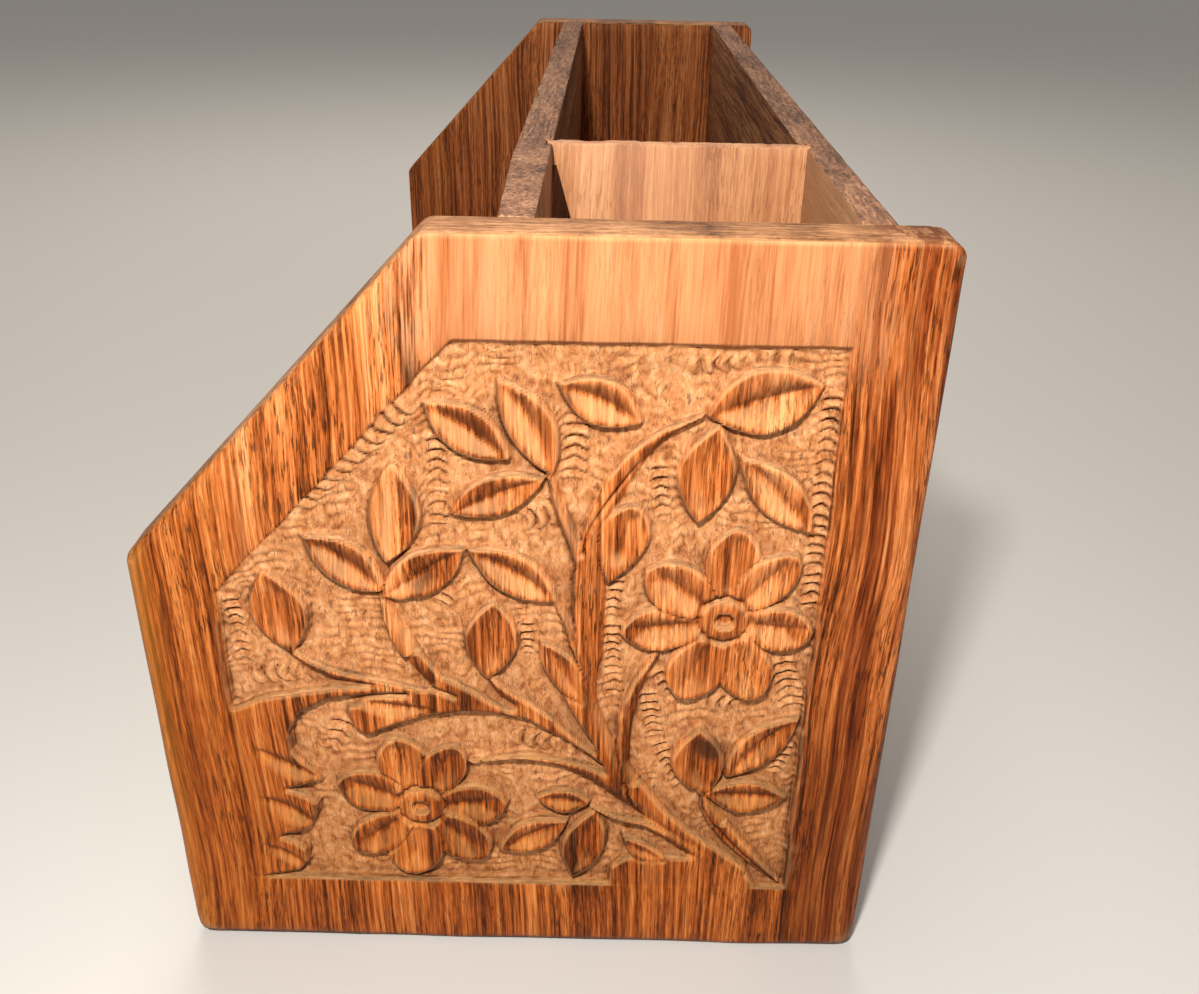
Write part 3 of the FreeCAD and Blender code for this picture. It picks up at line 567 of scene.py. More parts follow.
# -------- the end panels' outline
def outline_planes(low, high):
    """Each side of the five-sided outline: its outward normal, and where it is along that normal."""
    run = math.hypot(CHAMFER_WIDTH, CHAMFER_HEIGHT)
    cut = (-CHAMFER_HEIGHT / run, CHAMFER_WIDTH / run)
    return [
        ((1.0, 0.0), high[0]),
        ((0.0, 1.0), high[2]),
        (cut, cut[0] * low[0] + cut[1] * (high[2] - CHAMFER_HEIGHT)),
        ((-1.0, 0.0), -low[0]),
        ((0.0, -1.0), -low[2]),
    ]


def outline_distance(x, z, planes):
    """Distance outside the rounded outline, and its direction, at arrays of points."""
    r = PANEL_CORNER_RADIUS
    core = []
    for (near, near_at), (far, far_at) in zip(planes, planes[1:] + planes[:1]):
        core.append(np.linalg.solve(np.array([near, far]), np.array([near_at - r, far_at - r])))
    depth = np.max([nx * x + nz * z - at + r for (nx, nz), at in planes], axis=0)
    nearest = np.full(x.shape, 1e9)
    way_x = np.zeros(x.shape)
    way_z = np.zeros(x.shape)
    for first, last in zip(core, core[1:] + core[:1]):
        _, off_x, off_z = from_segment(x, z, first, last)
        gap = np.maximum(np.hypot(off_x, off_z), 1e-9)
        closer = gap < nearest
        nearest = np.where(closer, gap, nearest)
        way_x = np.where(closer, off_x / gap, way_x)
        way_z = np.where(closer, off_z / gap, way_z)
    outside = depth > 0.0
    return np.where(outside, nearest - r, depth - r), way_x * outside, way_z * outside


def panel_grid(low, high):
    """Points of the outside face, in rows and columns that follow the outline and the field."""
    rim = np.array(RIM_STEPS)
    field_z = np.linspace(FIELD_BOTTOM - FIELD_MARGIN, FIELD_TOP + FIELD_MARGIN, FIELD_ROWS)
    rows = np.concatenate([low[2] + rim, field_z, high[2] - rim[::-1]])
    slant = (FIELD_TOP_LEFT - FIELD_LEFT_HIGH) / (FIELD_TOP - FIELD_SHOULDER)
    field_left = np.where(rows < FIELD_SHOULDER, FIELD_LEFT_LOW + FIELD_LEAN * (rows - FIELD_BOTTOM),
                          FIELD_LEFT_HIGH + slant * (rows - FIELD_SHOULDER)) - FIELD_MARGIN
    field_left = np.minimum(field_left, FIELD_TOP_LEFT + 0.2 * (rows - FIELD_TOP) * (rows > FIELD_TOP))
    shoulder = high[2] - CHAMFER_HEIGHT
    outer_left = low[0] + np.maximum(rows - shoulder, 0.0) * CHAMFER_WIDTH / CHAMFER_HEIGHT
    left = outer_left[:, None] + rim / 10.0 * (field_left - outer_left)[:, None]
    share = np.linspace(0.0, 1.0, FIELD_COLUMNS)
    middle = field_left[:, None] + share * (FIELD_RIGHT + FIELD_MARGIN - field_left)[:, None]
    right = np.broadcast_to(high[0] - rim[::-1], (len(rows), len(rim)))
    x = np.hstack([left, middle, right])
    z = np.broadcast_to(rows[:, None], x.shape).copy()
    return x, z


def perimeter(rows, columns):
    """Indices of a grid's outer loop, anticlockwise from the lower left."""
    grid = np.arange(rows * columns).reshape(rows, columns)
    return np.concatenate([grid[0, :-1], grid[:-1, -1], grid[-1, :0:-1], grid[:0:-1, 0]])


def grid_faces(rows, columns):
    """Quads of a grid."""
    grid = np.arange(rows * columns).reshape(rows, columns)
    corners = [grid[:-1, :-1], grid[:-1, 1:], grid[1:, 1:], grid[1:, :-1]]
    return np.stack(corners, axis=-1).reshape(-1, 4).tolist()


def ring_faces(here, there):
    """Quads between two closed rings of points, given by their indices."""
    return np.stack([here, there, np.roll(there, -1), np.roll(here, -1)], axis=-1).tolist()


def blur(height, times):
    """A grid of heights, evened out with its neighbours a number of times."""
    soft = height.copy()
    for _ in range(times):
        soft[1:-1, 1:-1] = (soft[:-2, 1:-1] + soft[2:, 1:-1] + soft[1:-1, :-2]
                            + soft[1:-1, 2:] + soft[1:-1, 1:-1]) / 5.0
    return soft


def rim_drop(x, z, distance, top, seed):
    """How far the worn, rounded rim falls away at each point. It is sharper along the top."""
    radius = PANEL_RIM_RADIUS * (1.0 + 0.25 * value_noise(x / 11.0, z / 11.0, seed + 11))
    radius *= 1.0 - 0.65 * smooth_step((z - top + 4.0) / 3.0) * smooth_step((x + 14.0) / 4.0)
    short = np.clip(radius + distance, 0.0, radius)
    return radius - np.sqrt(np.maximum(radius ** 2 - short ** 2, 0.0))


def cut_measures(z, height, cover):
    """How each point of the outside face was cut, for the material to read. The material paints shade from
    these into hollow creases, onto slopes that face down and onto the ground beside raised pieces, and paints
    highlights onto slopes that face up and onto crests.
    """
    blurred = blur(height, 2)
    fall = np.gradient(blurred, axis=0) / np.maximum(np.gradient(z, axis=0), 0.05)
    crease = height - blurred
    return {
        "raised": cover,
        "crease": np.where(crease < 0.0, crease * smooth_step(1.0 + fall / 0.8), crease),
        "undercut": smooth_step((fall - 0.08) / 0.5) * cover,
        "uphill": smooth_step((-fall - 0.06) / 0.35) * smooth_step(1.5 + fall) * cover,
        "nook": smooth_step((blur(height, 40) - height - 0.08) / 0.8) * (1.0 - cover),
    }


def carved_end(node, outside, seed):
    """One end panel: carved outside face, rounded rims, flat inside face. outside is -1 or +1 along Y."""
    low, high = node_box(node)
    thickness = high[1] - low[1]
    planes = outline_planes(low, high)
    x, z = panel_grid(low, high)
    for _ in range(3):
        distance, way_x, way_z = outline_distance(x, z, planes)
        push = np.maximum(distance, 0.0)
        x = x - push * way_x
        z = z - push * way_z
    distance, way_x, way_z = outline_distance(x, z, planes)
    face = CarvedFace(x, z, seed)
    face.carve()
    height = face.height - rim_drop(x, z, distance, high[2], seed)
    front = np.stack([x, height, z], axis=-1).reshape(-1, 3)
    before = perimeter(*x.shape)
    count = len(before)
    edge = front[before][:, [0, 2]]
    out = np.stack([way_x, way_z], axis=-1).reshape(-1, 2)[before]
    rings = [(thickness * 0.5, edge - 0.03 * out), (thickness - BACK_RIM, edge),
             (thickness - 0.32, edge - BACK_RIM * 0.3 * out), (thickness, edge - BACK_RIM * out)]
    for share in (0.97, 0.5):
        rings.append((thickness, BACK_MIDDLE + (rings[3][1] - BACK_MIDDLE) * share))
    points = [front] + [np.insert(ring, 1, -depth, axis=1) for depth, ring in rings]
    points = np.vstack(points + [[[BACK_MIDDLE[0], -thickness, BACK_MIDDLE[1]]]])
    faces = grid_faces(*x.shape)
    for number in range(len(rings)):
        ring = len(front) + number * count + np.arange(count)
        faces += ring_faces(before, ring)
        before = ring
    hub = len(points) - 1
    faces += [[int(a), hub, int(b)] for a, b in zip(before, np.roll(before, -1))]
    points[:, 1] = (low[1] if outside < 0 else high[1]) + outside * points[:, 1]
    if outside > 0:
        faces = [face[::-1] for face in faces]
    points = np.clip(points, low, high)
    piece = link_mesh(node + "_carved", points, faces, "carcass", node, CARVED_SMOOTH_ANGLE)
    for name, grid in cut_measures(z, height, face.cover).items():
        values = np.full(len(points), 1.0 if name == "raised" else 0.0)
        values[:len(front)] = grid.reshape(-1)
        add_measure(piece, name, values)
    add_measure(piece, "inside", np.arange(len(points)) >= len(front) + 3 * count)
    return piece


def add_measure(piece, name, values):
    """A number at each point of a piece, for its material to read."""
    measure = piece.data.attributes.new(name, "FLOAT", "POINT")
    measure.data.foreach_set("value", np.asarray(values, dtype=np.float32))


# -------- boards
def outline(corners, counts):
    """Points round a polygon. A corner is (across, up, radius), and counts says how many points follow."""
    arcs = []
    total = len(corners)
    for i, (x, z, radius) in enumerate(corners):
        here = np.array([x, z])
        back = np.array(corners[i - 1][:2]) - here
        on = np.array(corners[(i + 1) % total][:2]) - here
        if radius == 0:
            arcs.append([here])
            continue
        back = back / np.linalg.norm(back)
        on = on / np.linalg.norm(on)
        half = math.acos(np.clip(np.dot(back, on), -1.0, 1.0)) / 2
        reach = radius / math.tan(half)
        centre = here + (back + on) / np.linalg.norm(back + on) * radius / math.sin(half)
        first = here + back * reach - centre
        last = here + on * reach - centre
        arc = []
        for t in np.linspace(0.0, 1.0, 4):
            way = first * (1 - t) + last * t
            arc.append(centre + way / np.linalg.norm(way) * radius)
        arcs.append(arc)
    points = []
    for i, arc in enumerate(arcs):
        points += arc
        following = arcs[(i + 1) % total][0]
        for t in np.arange(1, counts[i] + 1) / (counts[i] + 1):
            points.append(arc[-1] * (1 - t) + following * t)
    return np.array(points)


def end_stations(start, end, step, marks=()):
    """Places along a board: close together at its ends and at marks, and about a step apart between."""
    places = [start, start + 0.1, start + 0.35, end - 0.35, end - 0.1, end]
    places += list(np.arange(start + 1.0, end - 1.0, step))
    for mark in marks:
        places += [mark - 0.02, mark + 0.02]
    return sorted(places)


def board(node, body, along, section, counts, stations, rough, seed):
    """A board lofted along an axis inside its CAD box. section(place) gives its corners there.

    rough is (wear of every face, wear of the faces that look up), in millimetres.
    """
    low, high = node_box(node)
    axis = "XYZ".index(along)
    up = max(i for i in range(3) if i != axis)
    rings = []
    for place in stations:
        flat = outline(section(place), counts)
        from_end = min(place - low[axis], high[axis] - place, END_RADIUS)
        inset = END_RADIUS - math.sqrt(END_RADIUS ** 2 - (END_RADIUS - from_end) ** 2)
        middle = (flat.max(axis=0) + flat.min(axis=0)) / 2
        half = (flat.max(axis=0) - flat.min(axis=0)) / 2
        flat = middle + (flat - middle) * (half - inset) / half
        tangent = np.roll(flat, -1, axis=0) - np.roll(flat, 1, axis=0)
        normal = np.column_stack([tangent[:, 1], -tangent[:, 0]])
        normal /= np.maximum(np.linalg.norm(normal, axis=1, keepdims=True), 1e-9)
        sawn = smooth_step((normal[:, 1] - 0.5) / 0.4) if up == 2 else np.zeros(len(flat))
        spot = np.arange(len(flat)) * 0.37
        even = 0.5 + 0.5 * value_noise(spot, np.full(len(flat), place / 6.0), seed)
        saw = 0.5 + 0.5 * value_noise(spot * 3.0, np.full(len(flat), place / 1.1), seed + 1)
        chip = smooth_step(value_noise(spot * 1.4, np.full(len(flat), place / 3.5), seed + 2) * 2.0 - 0.4)
        wear = rough[0] * even * (1 - sawn) + rough[1] * (0.5 * saw + 0.5 * chip) * sawn
        ring = np.insert(flat - normal * wear[:, None], axis, place, axis=1)
        rings.append(np.clip(ring, low, high))
    count = len(rings[0])
    index = np.arange(count)
    faces = []
    for number in range(len(rings) - 1):
        here = number * count + index
        faces += ring_faces(here, here + count)
    faces = [[a, d, c, b] for a, b, c, d in faces]
    faces.append(index[::-1].tolist())
    faces.append(((len(rings) - 1) * count + index).tolist())
    if axis == 1:
        faces = [face[::-1] for face in faces]
    return link_mesh(node + "_board", np.vstack(rings), faces, body, node, BOARD_SMOOTH_ANGLE)


def plain_board(node, body, along, radius, rough, seed):
    """A plain board with eased edges."""
    low, high = node_box(node)
    axis = "XYZ".index(along)
    across, up = [i for i in range(3) if i != axis]
    corners = [(high[across], low[up], radius), (high[across], high[up], radius),
               (low[across], high[up], radius), (low[across], low[up], radius)]
    wide, tall = [int(size / 0.9) if size < 8 else 12 for size in np.delete(high - low, axis)]
    stations = end_stations(low[axis], high[axis], PLAIN_STEP)
    return board(node, body, along, lambda place: corners, [tall, wide, tall, wide], stations, rough, seed)


def back_wall():
    """The back wall: a rough-sawn top, a rebate beside the near well and a groove for the divider."""
    low, high = node_box("back_wall")
    deck = node_box("deck_board")[1][2]
    divider_low, divider_high = node_box("divider")
    near = divider_low[1] - GROOVE_GAP
    far = divider_high[1] + GROOVE_GAP

    def section(y):
        cut = REBATE_DEPTH if y < near else GROOVE_DEPTH if y < far else 0.0
        return [(high[0], low[2], 0.5), (high[0], high[2], 0.6), (low[0] + cut, high[2], 0.35),
                (low[0] + cut, deck + 0.1, 0), (low[0], deck, 0), (low[0], low[2], 0.5)]

    stations = end_stations(low[1], high[1], 1.2, (near, far))
    return board("back_wall", "carcass", "Y", section, [14, 6, 14, 0, 6, 3], stations, (0.08, 0.42), 61)


def inner_wall():
    """The fixed stretch of the inner wall, notched at its near end for the divider's horn."""
    low, high = node_box("inner_wall")
    notch_end = node_box("divider")[1][1] + GROOVE_GAP

    def section(y):
        side, down = (NOTCH_WIDTH, NOTCH_DEPTH) if y < notch_end else (0.0, 0.0)
        inner = high[0] - side
        return [(high[0], low[2], 0.4), (high[0], high[2] - down - 0.6, 0), (inner, high[2] - down - 0.4, 0),
                (inner, high[2], 0.3), (low[0], high[2], 0.5), (low[0], low[2], 0.4)]

    stations = end_stations(low[1], high[1], 1.2, (notch_end,))
    return board("inner_wall", "carcass", "Y", section, [14, 0, 2, 6, 14, 3], stations, (0.08, 0.42), 64)


def divider():
    """The loose divider: a horn on its top left corner, and a left edge that slants away."""
    low, high = node_box("divider")
    wall = low[0] + HORN_LENGTH
    under_horn = high[2] - HORN_HEIGHT
    section = [(high[0], low[2], 0.4), (high[0], high[2], 0.3), (low[0], high[2], 0.25),
               (low[0], under_horn, 0.15), (wall + 0.35, under_horn, 0.15),
               (wall + SLANT_WIDTH, SLANT_FOOT, 2.0), (wall + SLANT_WIDTH, low[2], 0.4)]
    stations = [low[1], low[1] + 0.1, low[1] + 0.35, low[1] + 1.2, high[1] - 1.2, high[1] - 0.35,
                high[1] - 0.1, high[1]]
    return board("divider", "divider", "Y", lambda y: section, [30, 44, 2, 2, 8, 24, 30], stations,
                 (0.10, 0.30), 67)


def key_slat():
    """The slat that slides up: thinner towards its near end, and grooved at both ends for its guides."""
    low, high = node_box("key_slat")
    guide_low, guide_high = node_box("slat_guide_near")
    x0 = guide_low[0] - RUNNING_GAP
    x1 = guide_high[0] + RUNNING_GAP
    thin = high[0] - SLAT_THIN
    grooves = (low[1] + SLAT_GROOVE, high[1] - SLAT_GROOVE)

    def section(y):
        left = thin + (low[0] - thin) * min((y - low[1]) / SLAT_TAPER, 1.0)
        top = low[2] + 0.02 if grooves[0] <= y <= grooves[1] else guide_high[2] + RUNNING_GAP
        return [(high[0], low[2], 0.3), (high[0], high[2], 0.4), (left, high[2], 0.5), (left, low[2], 0.3),
                (x0, low[2], 0), (x0, top, 0), (x1, top, 0), (x1, low[2], 0)]

    stations = end_stations(low[1], high[1], 1.0, grooves)
    return board("key_slat", "key_slat", "Y", section, [14, 6, 14, 1, 0, 0, 0, 1], stations, (0.08, 0.38), 70)


def drawer_side(node):
    """A side of the drawer. The near one is notched in its top edge for the bolt."""
    low, high = node_box(node)
    bolt_low, bolt_high = node_box("lock_bolt")
    notch = (bolt_low[0] - RUNNING_GAP, bolt_high[0] + RUNNING_GAP)
    notched = node == "drawer_side_near"

    def section(x):
        top = bolt_low[2] - RUNNING_GAP if notched and notch[0] < x < notch[1] else high[2]
        return [(high[1], low[2], 0.3), (high[1], top, 0.3), (low[1], top, 0.3), (low[1], low[2], 0.3)]

    stations = end_stations(low[0], high[0], 3.0, notch)
    return board(node, "drawer", "X", section, [8, 4, 8, 4], stations, (0.06, 0.10), 73)


# -------- shader helpers
def new_material(name):
    """An empty node material and its Principled shader."""
    material = bpy.data.materials.new(name)
    material.use_nodes = True
    tree = material.node_tree
    tree.nodes.clear()
    shader = tree.nodes.new("ShaderNodeBsdfPrincipled")
    output = tree.nodes.new("ShaderNodeOutputMaterial")
    tree.links.new(shader.outputs["BSDF"], output.inputs["Surface"])
    return material, shader


def feed(socket, value):
    """Links a socket to another node's output, or sets it to a number, a vector or a colour."""
    if isinstance(value, bpy.types.NodeSocket):
        socket.id_data.links.new(value, socket)
    elif socket.type == "RGBA":
        socket.default_value = (*value, 1.0)
    else:
        socket.default_value = value


def node_beside(kind, *values):
    """A new node in the tree of the first socket among some values."""
    first = next(value for value in values if isinstance(value, bpy.types.NodeSocket))
    return first.id_data.nodes.new(kind)


def calculate(operation, *values):
    """A Math node fed by sockets and numbers; returns its output."""
    node = node_beside("ShaderNodeMath", *values)
    node.operation = operation
    for socket, value in zip(node.inputs, values):
        feed(socket, value)
    return node.outputs[0]


def times(first, *others):
    """The product of sockets and numbers."""
    for other in others:
        first = calculate("MULTIPLY", first, other)
    return first


def times_add(first, second, third):
    """first * second + third."""
    return calculate("MULTIPLY_ADD", first, second, third)


def mix(share, first, second, blend="MIX", kind="RGBA"):
    """A blend of two colours, or of two numbers where kind is FLOAT; returns its output."""
    node = node_beside("ShaderNodeMix", share, first, second)
    node.data_type = kind
    node.blend_type = blend
    start, output = MIX_SOCKETS[kind]
    for number, value in ((0, share), (start, first), (start + 1, second)):
        feed(node.inputs[number], value)
    return node.outputs[output]


def tinted(colour, mask, share, tint, blend="MIX"):
    """A colour with a tint laid over it, where a mask is and as strongly as a share."""
    return mix(times(mask, share), colour, tint, blend)


def ramp(value, stops):
    """A colour ramp over a value; stops are (position, colour)."""
    node = node_beside("ShaderNodeValToRGB", value)
    feed(node.inputs[0], value)
    while len(node.color_ramp.elements) < len(stops):
        node.color_ramp.elements.new(0.5)
    for element, (position, colour) in zip(node.color_ramp.elements, stops):
        element.position = position
        element.color = (*colour, 1.0)
    return node.outputs[0]


def band(value, low, high):
    """0 where the value is below low, 1 where it is above high."""
    node = node_beside("ShaderNodeMapRange", value)
    node.interpolation_type = "SMOOTHSTEP"
    for name, setting in (("Value", value), ("From Min", low), ("From Max", high)):
        feed(node.inputs[name], setting)
    return node.outputs["Result"]


def falling(value, low, high):
    """1 where the value is below low, 0 where it is above high."""
    return calculate("SUBTRACT", 1.0, band(value, low, high))


def noise_over(place, scale, detail=2.0, roughness=0.5, warp=0.0):
    """Noise over a place in millimetres, with a scale for each axis."""
    stretch = node_beside("ShaderNodeVectorMath", place)
    stretch.operation = "MULTIPLY"
    feed(stretch.inputs[0], place)
    feed(stretch.inputs[1], scale)
    node = node_beside("ShaderNodeTexNoise", place)
    settings = {"Vector": stretch.outputs[0], "Scale": 1.0, "Detail": detail, "Roughness": roughness,
                "Distortion": warp}
    for name, value in settings.items():
        feed(node.inputs[name], value)
    return node.outputs["Fac"]


def figure(place, across, along, detail=3.0, roughness=0.6, warp=0.0):
    """Noise drawn out along the grain, with a scale across it and one along it."""
    return noise_over(place, (across, across, along), detail, roughness, warp)


def axes_of(vector):
    """The three axes of a vector socket."""
    split = node_beside("ShaderNodeSeparateXYZ", vector)
    feed(split.inputs[0], vector)
    return split.outputs


def texture_axes(socket, kind="Object"):
    """The three axes of a texture coordinate, in the same tree as a socket. Places are in metres."""
    return axes_of(node_beside("ShaderNodeTexCoord", socket).outputs[kind])


def attribute(socket, name):
    """The number stored at the points of a mesh under a name, in the same tree as a socket."""
    node = node_beside("ShaderNodeAttribute", socket)
    node.attribute_name = name
    return node.outputs["Fac"]


# -------- wood
def grain_place(tree, grain, shift, depth_share):
    """Places in millimetres, turned so that the third axis runs along the grain, gently wavy.

    depth_share under 1 keeps the figure from changing fast across the second axis. The second
    result is the same places, not turned.
    """
    coordinates = tree.nodes.new("ShaderNodeTexCoord")
    scale = tree.nodes.new("ShaderNodeVectorMath")
    scale.operation = "MULTIPLY_ADD"
    for socket, value in zip(scale.inputs, (coordinates.outputs["Object"], (1.0 / MM,) * 3, shift)):
        feed(socket, value)
    plain = scale.outputs[0]
    axes = axes_of(plain)
    across, depth, along = [axes[i] for i in GRAIN_ORDER[grain]]
    wave = noise_over(plain, tuple(ALONG_WAVE if axis == grain else ACROSS_WAVE for axis in "XYZ"), 1.0)
    join = tree.nodes.new("ShaderNodeCombineXYZ")
    feed(join.inputs[0], times_add(wave, 5.0, across))
    feed(join.inputs[1], times_add(wave, 2.0, times(depth, depth_share)))
    feed(join.inputs[2], along)
    return join.outputs[0], plain


def wood(name, grain, colours, shift, pores=0.7, streaks=0.6, roughness=0.45, bump=0.25, sawn=None,
         gloss=0.4, depth_share=1.0, saw_scale=WALL_SAW_SCALE, heart_colour=HEART_COLOUR, lift=None,
         zones=None):
    """Oiled hardwood: growth bands, streaks, dark pores and fine fibre. colours run dark to light.

    sawn is (dark, middle, light) for faces that look up, where the saw's rough cut shows, and
    saw_scale is how fast its scratches change along each axis. lift may move parts of a board
    towards its light colours, and zones may tint them.
    """
    material, shader = new_material(name)
    place, plain = grain_place(material.node_tree, grain, shift, depth_share)
    bands, streak, fibre, vein, pore, patch, heart = [figure(place, *row) for row in FIGURES]
    tone = times_add(bands, 1.0 - streaks, times(streak, streaks))
    tone = times_add(fibre, 0.32, calculate("SUBTRACT", tone, 0.16))
    if lift:
        tone = calculate("ADD", tone, lift(tone))
    count = len(colours) - 1
    colour = ramp(tone, [(TONE_LOW + TONE_RUN * i / count, stop) for i, stop in enumerate(colours)])
    vein_mask = times(band(vein, 0.53, 0.63), band(patch, 0.66, 0.40))
    colour = tinted(colour, vein_mask, 0.62 * pores, colours[0])
    colour = tinted(colour, band(heart, 0.60, 0.70), 0.75 * streaks, heart_colour)
    pore_mask = times(band(pore, 0.54, 0.62), band(patch, 0.38, 0.60))
    colour = tinted(colour, pore_mask, pores, tuple(PORE_SHARE * part for part in colours[0]))
    if zones:
        colour = zones(place, colour)
    relief = calculate("SUBTRACT", times(fibre, 0.6), pore_mask)
    rough = times_add(fibre, 0.25, roughness - 0.12)
    if sawn:
        up = band(texture_axes(plain, "Normal")[2], 0.46, 0.68)
        speck = noise_over(plain, tuple(0.6 + 0.5 * scale for scale in saw_scale), 5.0, 0.72, 0.5)
        scratch = noise_over(plain, saw_scale, 3.0, 0.6, 0.3)
        cut = times_add(scratch, 0.5, times(speck, 0.5))
        cut = times_add(patch, 0.35, calculate("SUBTRACT", cut, 0.175))
        colour = mix(up, colour, ramp(cut, list(zip(SAWN_STOPS, sawn))))
        rough = calculate("MAXIMUM", rough, times(up, SAWN_ROUGHNESS))
        relief = mix(up, relief, times(cut, 4.0), kind="FLOAT")
    feed(shader.inputs["Base Color"], colour)
    feed(shader.inputs["Roughness"], rough)
    shader.inputs["Specular IOR Level"].default_value = gloss
    node = node_beside("ShaderNodeBump", relief)
    node.inputs["Strength"].default_value = bump
    node.inputs["Distance"].default_value = RELIEF * MM
    feed(node.inputs["Height"], relief)
    feed(shader.inputs["Normal"], node.outputs["Normal"])
    return material, shader, place, plain, colour


def well_face(place, colour):
    """The back wall's inner face is paler beside the near well, in the rebate."""
    x, y, _ = texture_axes(place)
    face = times(falling(y, -0.0682, -0.0676), falling(x, 0.0406, 0.0416))
    return tinted(colour, face, 0.6, WELL_FACE)


def pale_stretches(socket):
    """How much lighter the near panel's wood is along its slanted side and in its middle."""
    x, _, z = texture_axes(socket)
    slant = times(band(z, 0.064, 0.090), falling(x, -0.012, -0.004))
    middle = times(band(z, 0.030, 0.052), band(x, 0.000, 0.010), falling(x, 0.036, 0.041))
    return times_add(slant, 0.03, times(middle, 0.045))


def calm_top(place, colour):
    """The near panel's calm pale top border, and a painted golden highlight along its rounded left rim."""
    x, _, z = texture_axes(place)
    stripes = figure(place, 0.30, 0.012)
    fine = figure(place, 3.0, 0.10, 2.0)
    stripes = times_add(fine, 0.35, times(stripes, 0.65))
    calm = ramp(stripes, list(zip((0.38, 0.48, 0.60), CALM_COLOURS)))
    ragged_x = times_add(fine, 0.030, calculate("ADD", x, -0.015))
    top = times(band(z, 0.091, 0.101), band(ragged_x, -0.017, -0.009), falling(ragged_x, 0.039, 0.045))
    colour = tinted(colour, top, 0.85, calm)
    # Painted highlight: the rounded left rim is golden.
    return tinted(colour, falling(x, -0.0515, -0.0465), 0.6, GOLDEN_RIM_HIGHLIGHT)


def border_tints_and_shade(place, colour):
    """Darker, redder raised wood to the right and to the left, and painted shade in the lower right corner
    and towards the bottom.
    """
    x, _, z = texture_axes(place)
    streak = band(figure(place, 0.75, 0.012), 0.44, 0.56)
    right = times(band(x, 0.037, 0.045), times_add(streak, 0.7, 0.25))
    colour = mix(right, colour, (0.42, 0.28, 0.24), "MULTIPLY")
    left = times(falling(x, -0.040, -0.034), band(x, -0.0515, -0.048))
    colour = tinted(colour, left, 0.9, (0.78, 0.70, 0.50), "MULTIPLY")
    # Painted shade: the lower right corner is darker.
    corner = times(band(x, 0.026, 0.050), falling(z, 0.008, 0.060))
    colour = tinted(colour, corner, 0.6, (0.5, 0.44, 0.36), "MULTIPLY")
    # Painted shade: darker and warmer towards the bottom.
    return tinted(colour, falling(z, 0.022, 0.072), 0.85, (0.78, 0.66, 0.42), "MULTIPLY")


def knot(colour):
    """A dark knot in the near panel, inside a leaf."""
    x, _, z = texture_axes(colour)
    aside = calculate("SUBTRACT", x, KNOT_PLACE[0] * MM)
    above = calculate("SUBTRACT", z, KNOT_PLACE[1] * MM)
    away = calculate("SQRT", times_add(aside, aside, times(above, above)))
    return tinted(colour, falling(away, 0.5 * KNOT_RADIUS * MM, 1.3 * KNOT_RADIUS * MM), 0.85, KNOT_COLOUR)


def carved_wood(name, shift, lift=None, zones=None, knotted=False):
    """The end panels: oiled wood on what is raised, paler torn wood in the sunk ground, with painted shade in
    creases, on slopes that face down, beside raised pieces and towards the bottom, and painted highlights on
    slopes that face up and on crests.
    """
    material, shader, place, plain, colour = wood(
        name, "Z", CARVED_COLOURS, shift, pores=0.72, streaks=0.58, roughness=0.36, bump=0.5,
        sawn=CARVED_SAWN, gloss=0.14, depth_share=0.3, saw_scale=(0.12, 2.4, 1.0),
        heart_colour=CARVED_HEART, lift=lift, zones=zones)
    shader.inputs["Specular Tint"].default_value = (1.0, 0.70, 0.42, 1.0)
    # Painted highlight: slopes that face up are paler.
    colour = tinted(colour, attribute(colour, "uphill"), 0.38, (0.84, 0.44, 0.20))
    colour = border_tints_and_shade(place, colour)
    if knotted:
        colour = knot(colour)
    mottle = noise_over(plain, (0.9, 0.9, 0.55), 5.0, 0.68, 0.6)
    scratch = figure(place, 2.6, 0.75, warp=0.8)
    torn = tinted(ramp(mottle, TORN_STOPS), band(scratch, 0.56, 0.68), 0.65, (0.10, 0.045, 0.03))
    # Painted shade: the sunk ground is darker towards the bottom.
    low = falling(texture_axes(place)[2], 0.004, 0.050)
    torn = tinted(torn, low, 0.8, (0.86, 0.80, 0.70), "MULTIPLY")
    raised = band(attribute(colour, "raised"), 0.15, 0.60)
    colour = mix(raised, torn, colour)
    # Painted shade on the sunk ground beside raised pieces.
    colour = tinted(colour, attribute(colour, "nook"), 0.6, (0.15, 0.050, 0.018))
    # Painted shade in hollow creases.
    crease = attribute(colour, "crease")
    colour = tinted(colour, band(times(crease, -1.0), 0.03, 0.30), 0.75, (0.055, 0.016, 0.007))
    # Painted shade on slopes that face down.
    colour = tinted(colour, attribute(colour, "undercut"), 0.74, (0.075, 0.018, 0.006))
    colour = tinted(colour, attribute(colour, "inside"), 0.28, (0.13, 0.058, 0.036))
    # Crests are paler: partly wear, partly painted highlight.
    colour = tinted(colour, band(crease, 0.05, 0.16), 0.14, (0.85, 0.50, 0.24))
    feed(shader.inputs["Base Color"], colour)
    feed(shader.inputs["Roughness"], times_add(raised, -0.30, 0.74))
    return material


def dress(piece, material):
    """Gives a piece its material."""
    piece.data.materials.clear()
    piece.data.materials.append(material)


def plain_wood(name, grain, **look):
    """A board's wood, with its grain shifted by a number made from the name, so that no two match."""
    number = sum((i + 1) * ord(letter) for i, letter in enumerate(name)) % 97
    return wood("wood_" + name, grain, shift=(number * 1.7, number * 0.9, number * 3.1), **look)[0]


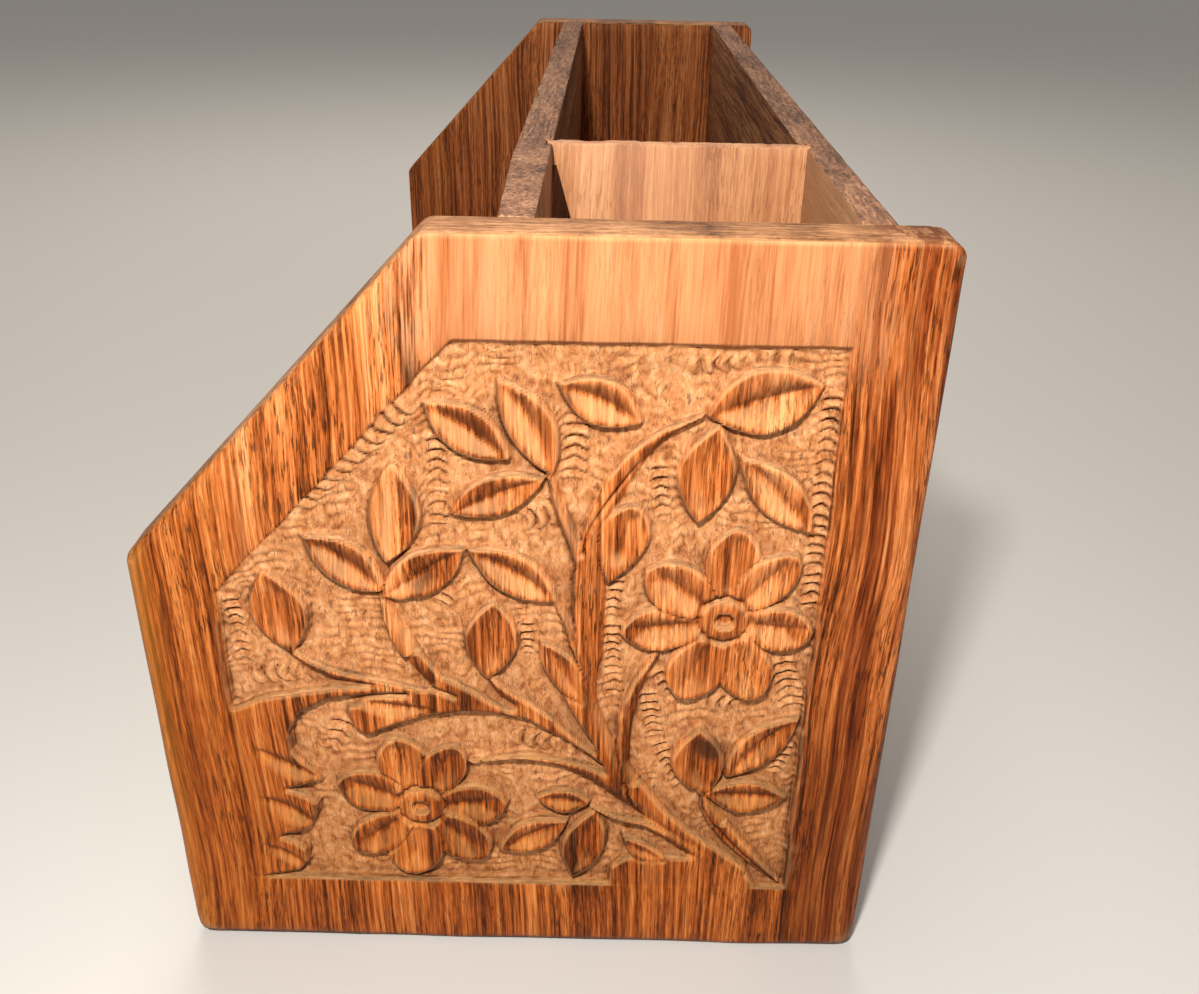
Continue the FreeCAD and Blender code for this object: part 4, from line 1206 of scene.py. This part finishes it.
# -------- every piece
def build_boards():
    """Every board that shows, with its material."""
    wear = (0.08, 0.25)
    walls = [
        (back_wall(), "Y", "wall_board"),
        (inner_wall(), "Y", "wall_board"),
        (key_slat(), "Z", "slat_board"),
        (plain_board("tray_lip", "carcass", "Y", 1.1, wear, 80), "Y", "wall_board"),
        (plain_board("drawer_front", "drawer", "Y", 0.5, wear, 83), "Y", "wall_board"),
        (plain_board("base_board", "carcass", "Y", 0.5, (0.08, 0.1), 86), "Y", "floor_board"),
    ]
    for piece, grain, slot_name in walls:
        saw_scale = SLAT_SAW_SCALE if slot_name == "slat_board" else WALL_SAW_SCALE
        zones = well_face if piece.name == "back_wall_board" else None
        material = plain_wood(piece.name, grain, colours=WALL_COLOURS, pores=0.6, roughness=0.5, bump=0.4,
                              sawn=WALL_SAWN, saw_scale=saw_scale, zones=zones)
        dress(piece, material)
    material = plain_wood("divider", "Z", colours=PALE_COLOURS, pores=0.35, streaks=0.45, roughness=0.6,
                          bump=0.4)
    dress(divider(), material)
    drawer = [(drawer_side("drawer_side_near"), "X"), (drawer_side("drawer_side_far"), "X"),
              (plain_board("drawer_back", "drawer", "Y", 0.4, (0.06, 0.1), 89), "Y")]
    for piece, grain in drawer:
        material = plain_wood(piece.name, grain, colours=INSIDE_COLOURS, pores=0.4, streaks=0.4,
                              roughness=0.62, bump=0.3)
        dress(piece, material)


def build_panels():
    """Both carved end panels. The near one has its own pale stretches, calm top border and knot."""
    near = carved_end("end_panel_near", -1, 10)
    far = carved_end("end_panel_far", 1, 40)
    material = carved_wood("carved_near", (0.0, 0.0, 0.0), pale_stretches, calm_top, knotted=True)
    dress(near, material)
    dress(far, carved_wood("carved_far", (63.0, 21.0, 140.0)))


def dress_kept_nodes():
    """Wood for the CAD nodes that keep their own shape."""
    for name, node in frame["nodes"].items():
        if name + "_board" in bpy.data.objects or name + "_carved" in bpy.data.objects:
            continue
        grain = KEPT_GRAIN.get(name, "Y")
        colours = WALL_COLOURS if name in RICH_NODES else INSIDE_COLOURS
        material = plain_wood(name, grain, colours=colours, pores=0.4, streaks=0.45, roughness=0.62, bump=0.3)
        dress(node, material)


# -------- the scene
def add_camera():
    """A camera at the viewing angle of a person who looks down at the near end."""
    data = bpy.data.cameras.new("camera")
    data.lens = CAMERA_LENS
    data.sensor_width = CAMERA_SENSOR
    data.clip_start = CAMERA_NEAREST * MM
    camera = linked("camera", data)
    camera.location = Vector(CAMERA_PLACE) * MM
    aim = Euler((math.radians(90.0 + CAMERA_PITCH), 0.0, math.radians(CAMERA_YAW)), "XYZ").to_matrix()
    roll = Euler((0.0, 0.0, math.radians(CAMERA_ROLL)), "XYZ").to_matrix()
    camera.rotation_euler = (aim @ roll).to_euler("XYZ")
    bpy.context.scene.camera = camera


def add_light(name, kind, place, aim, spread, power, colour):
    """A light at a place in millimetres, turned towards a point."""
    data = bpy.data.lights.new(name, kind)
    data.energy = power
    data.color = colour
    if kind == "SUN":
        data.angle = math.radians(spread)
    else:
        data.size = spread * MM
    light = linked(name, data)
    light.location = Vector(place) * MM
    way = (Vector(aim) - Vector(place)).normalized()
    light.rotation_euler = way.to_track_quat("-Z", "Y").to_euler()


def add_stage():
    """A plain pale floor and a soft studio sky."""
    mesh = bpy.data.meshes.new("floor")
    reach = FLOOR_REACH * MM
    mesh.from_pydata([(-reach, -reach, 0), (reach, -reach, 0), (reach, reach, 0), (-reach, reach, 0)],
                     [], [(0, 1, 2, 3)])
    floor = linked("floor", mesh)
    material, shader = new_material("floor_paper")
    shader.inputs["Base Color"].default_value = (*FLOOR_COLOUR, 1.0)
    shader.inputs["Roughness"].default_value = FLOOR_ROUGHNESS
    mesh.materials.append(material)
    world = bpy.data.worlds.new("studio")
    world.use_nodes = True
    background = world.node_tree.nodes["Background"]
    background.inputs["Color"].default_value = (*SKY_COLOUR, 1.0)
    background.inputs["Strength"].default_value = SKY_STRENGTH
    bpy.context.scene.world = world


bpy.context.scene.view_settings.view_transform = "Standard"
add_camera()
add_stage()
for light_row in LIGHTS:
    add_light(*light_row)
build_boards()
build_panels()
dress_kept_nodes()
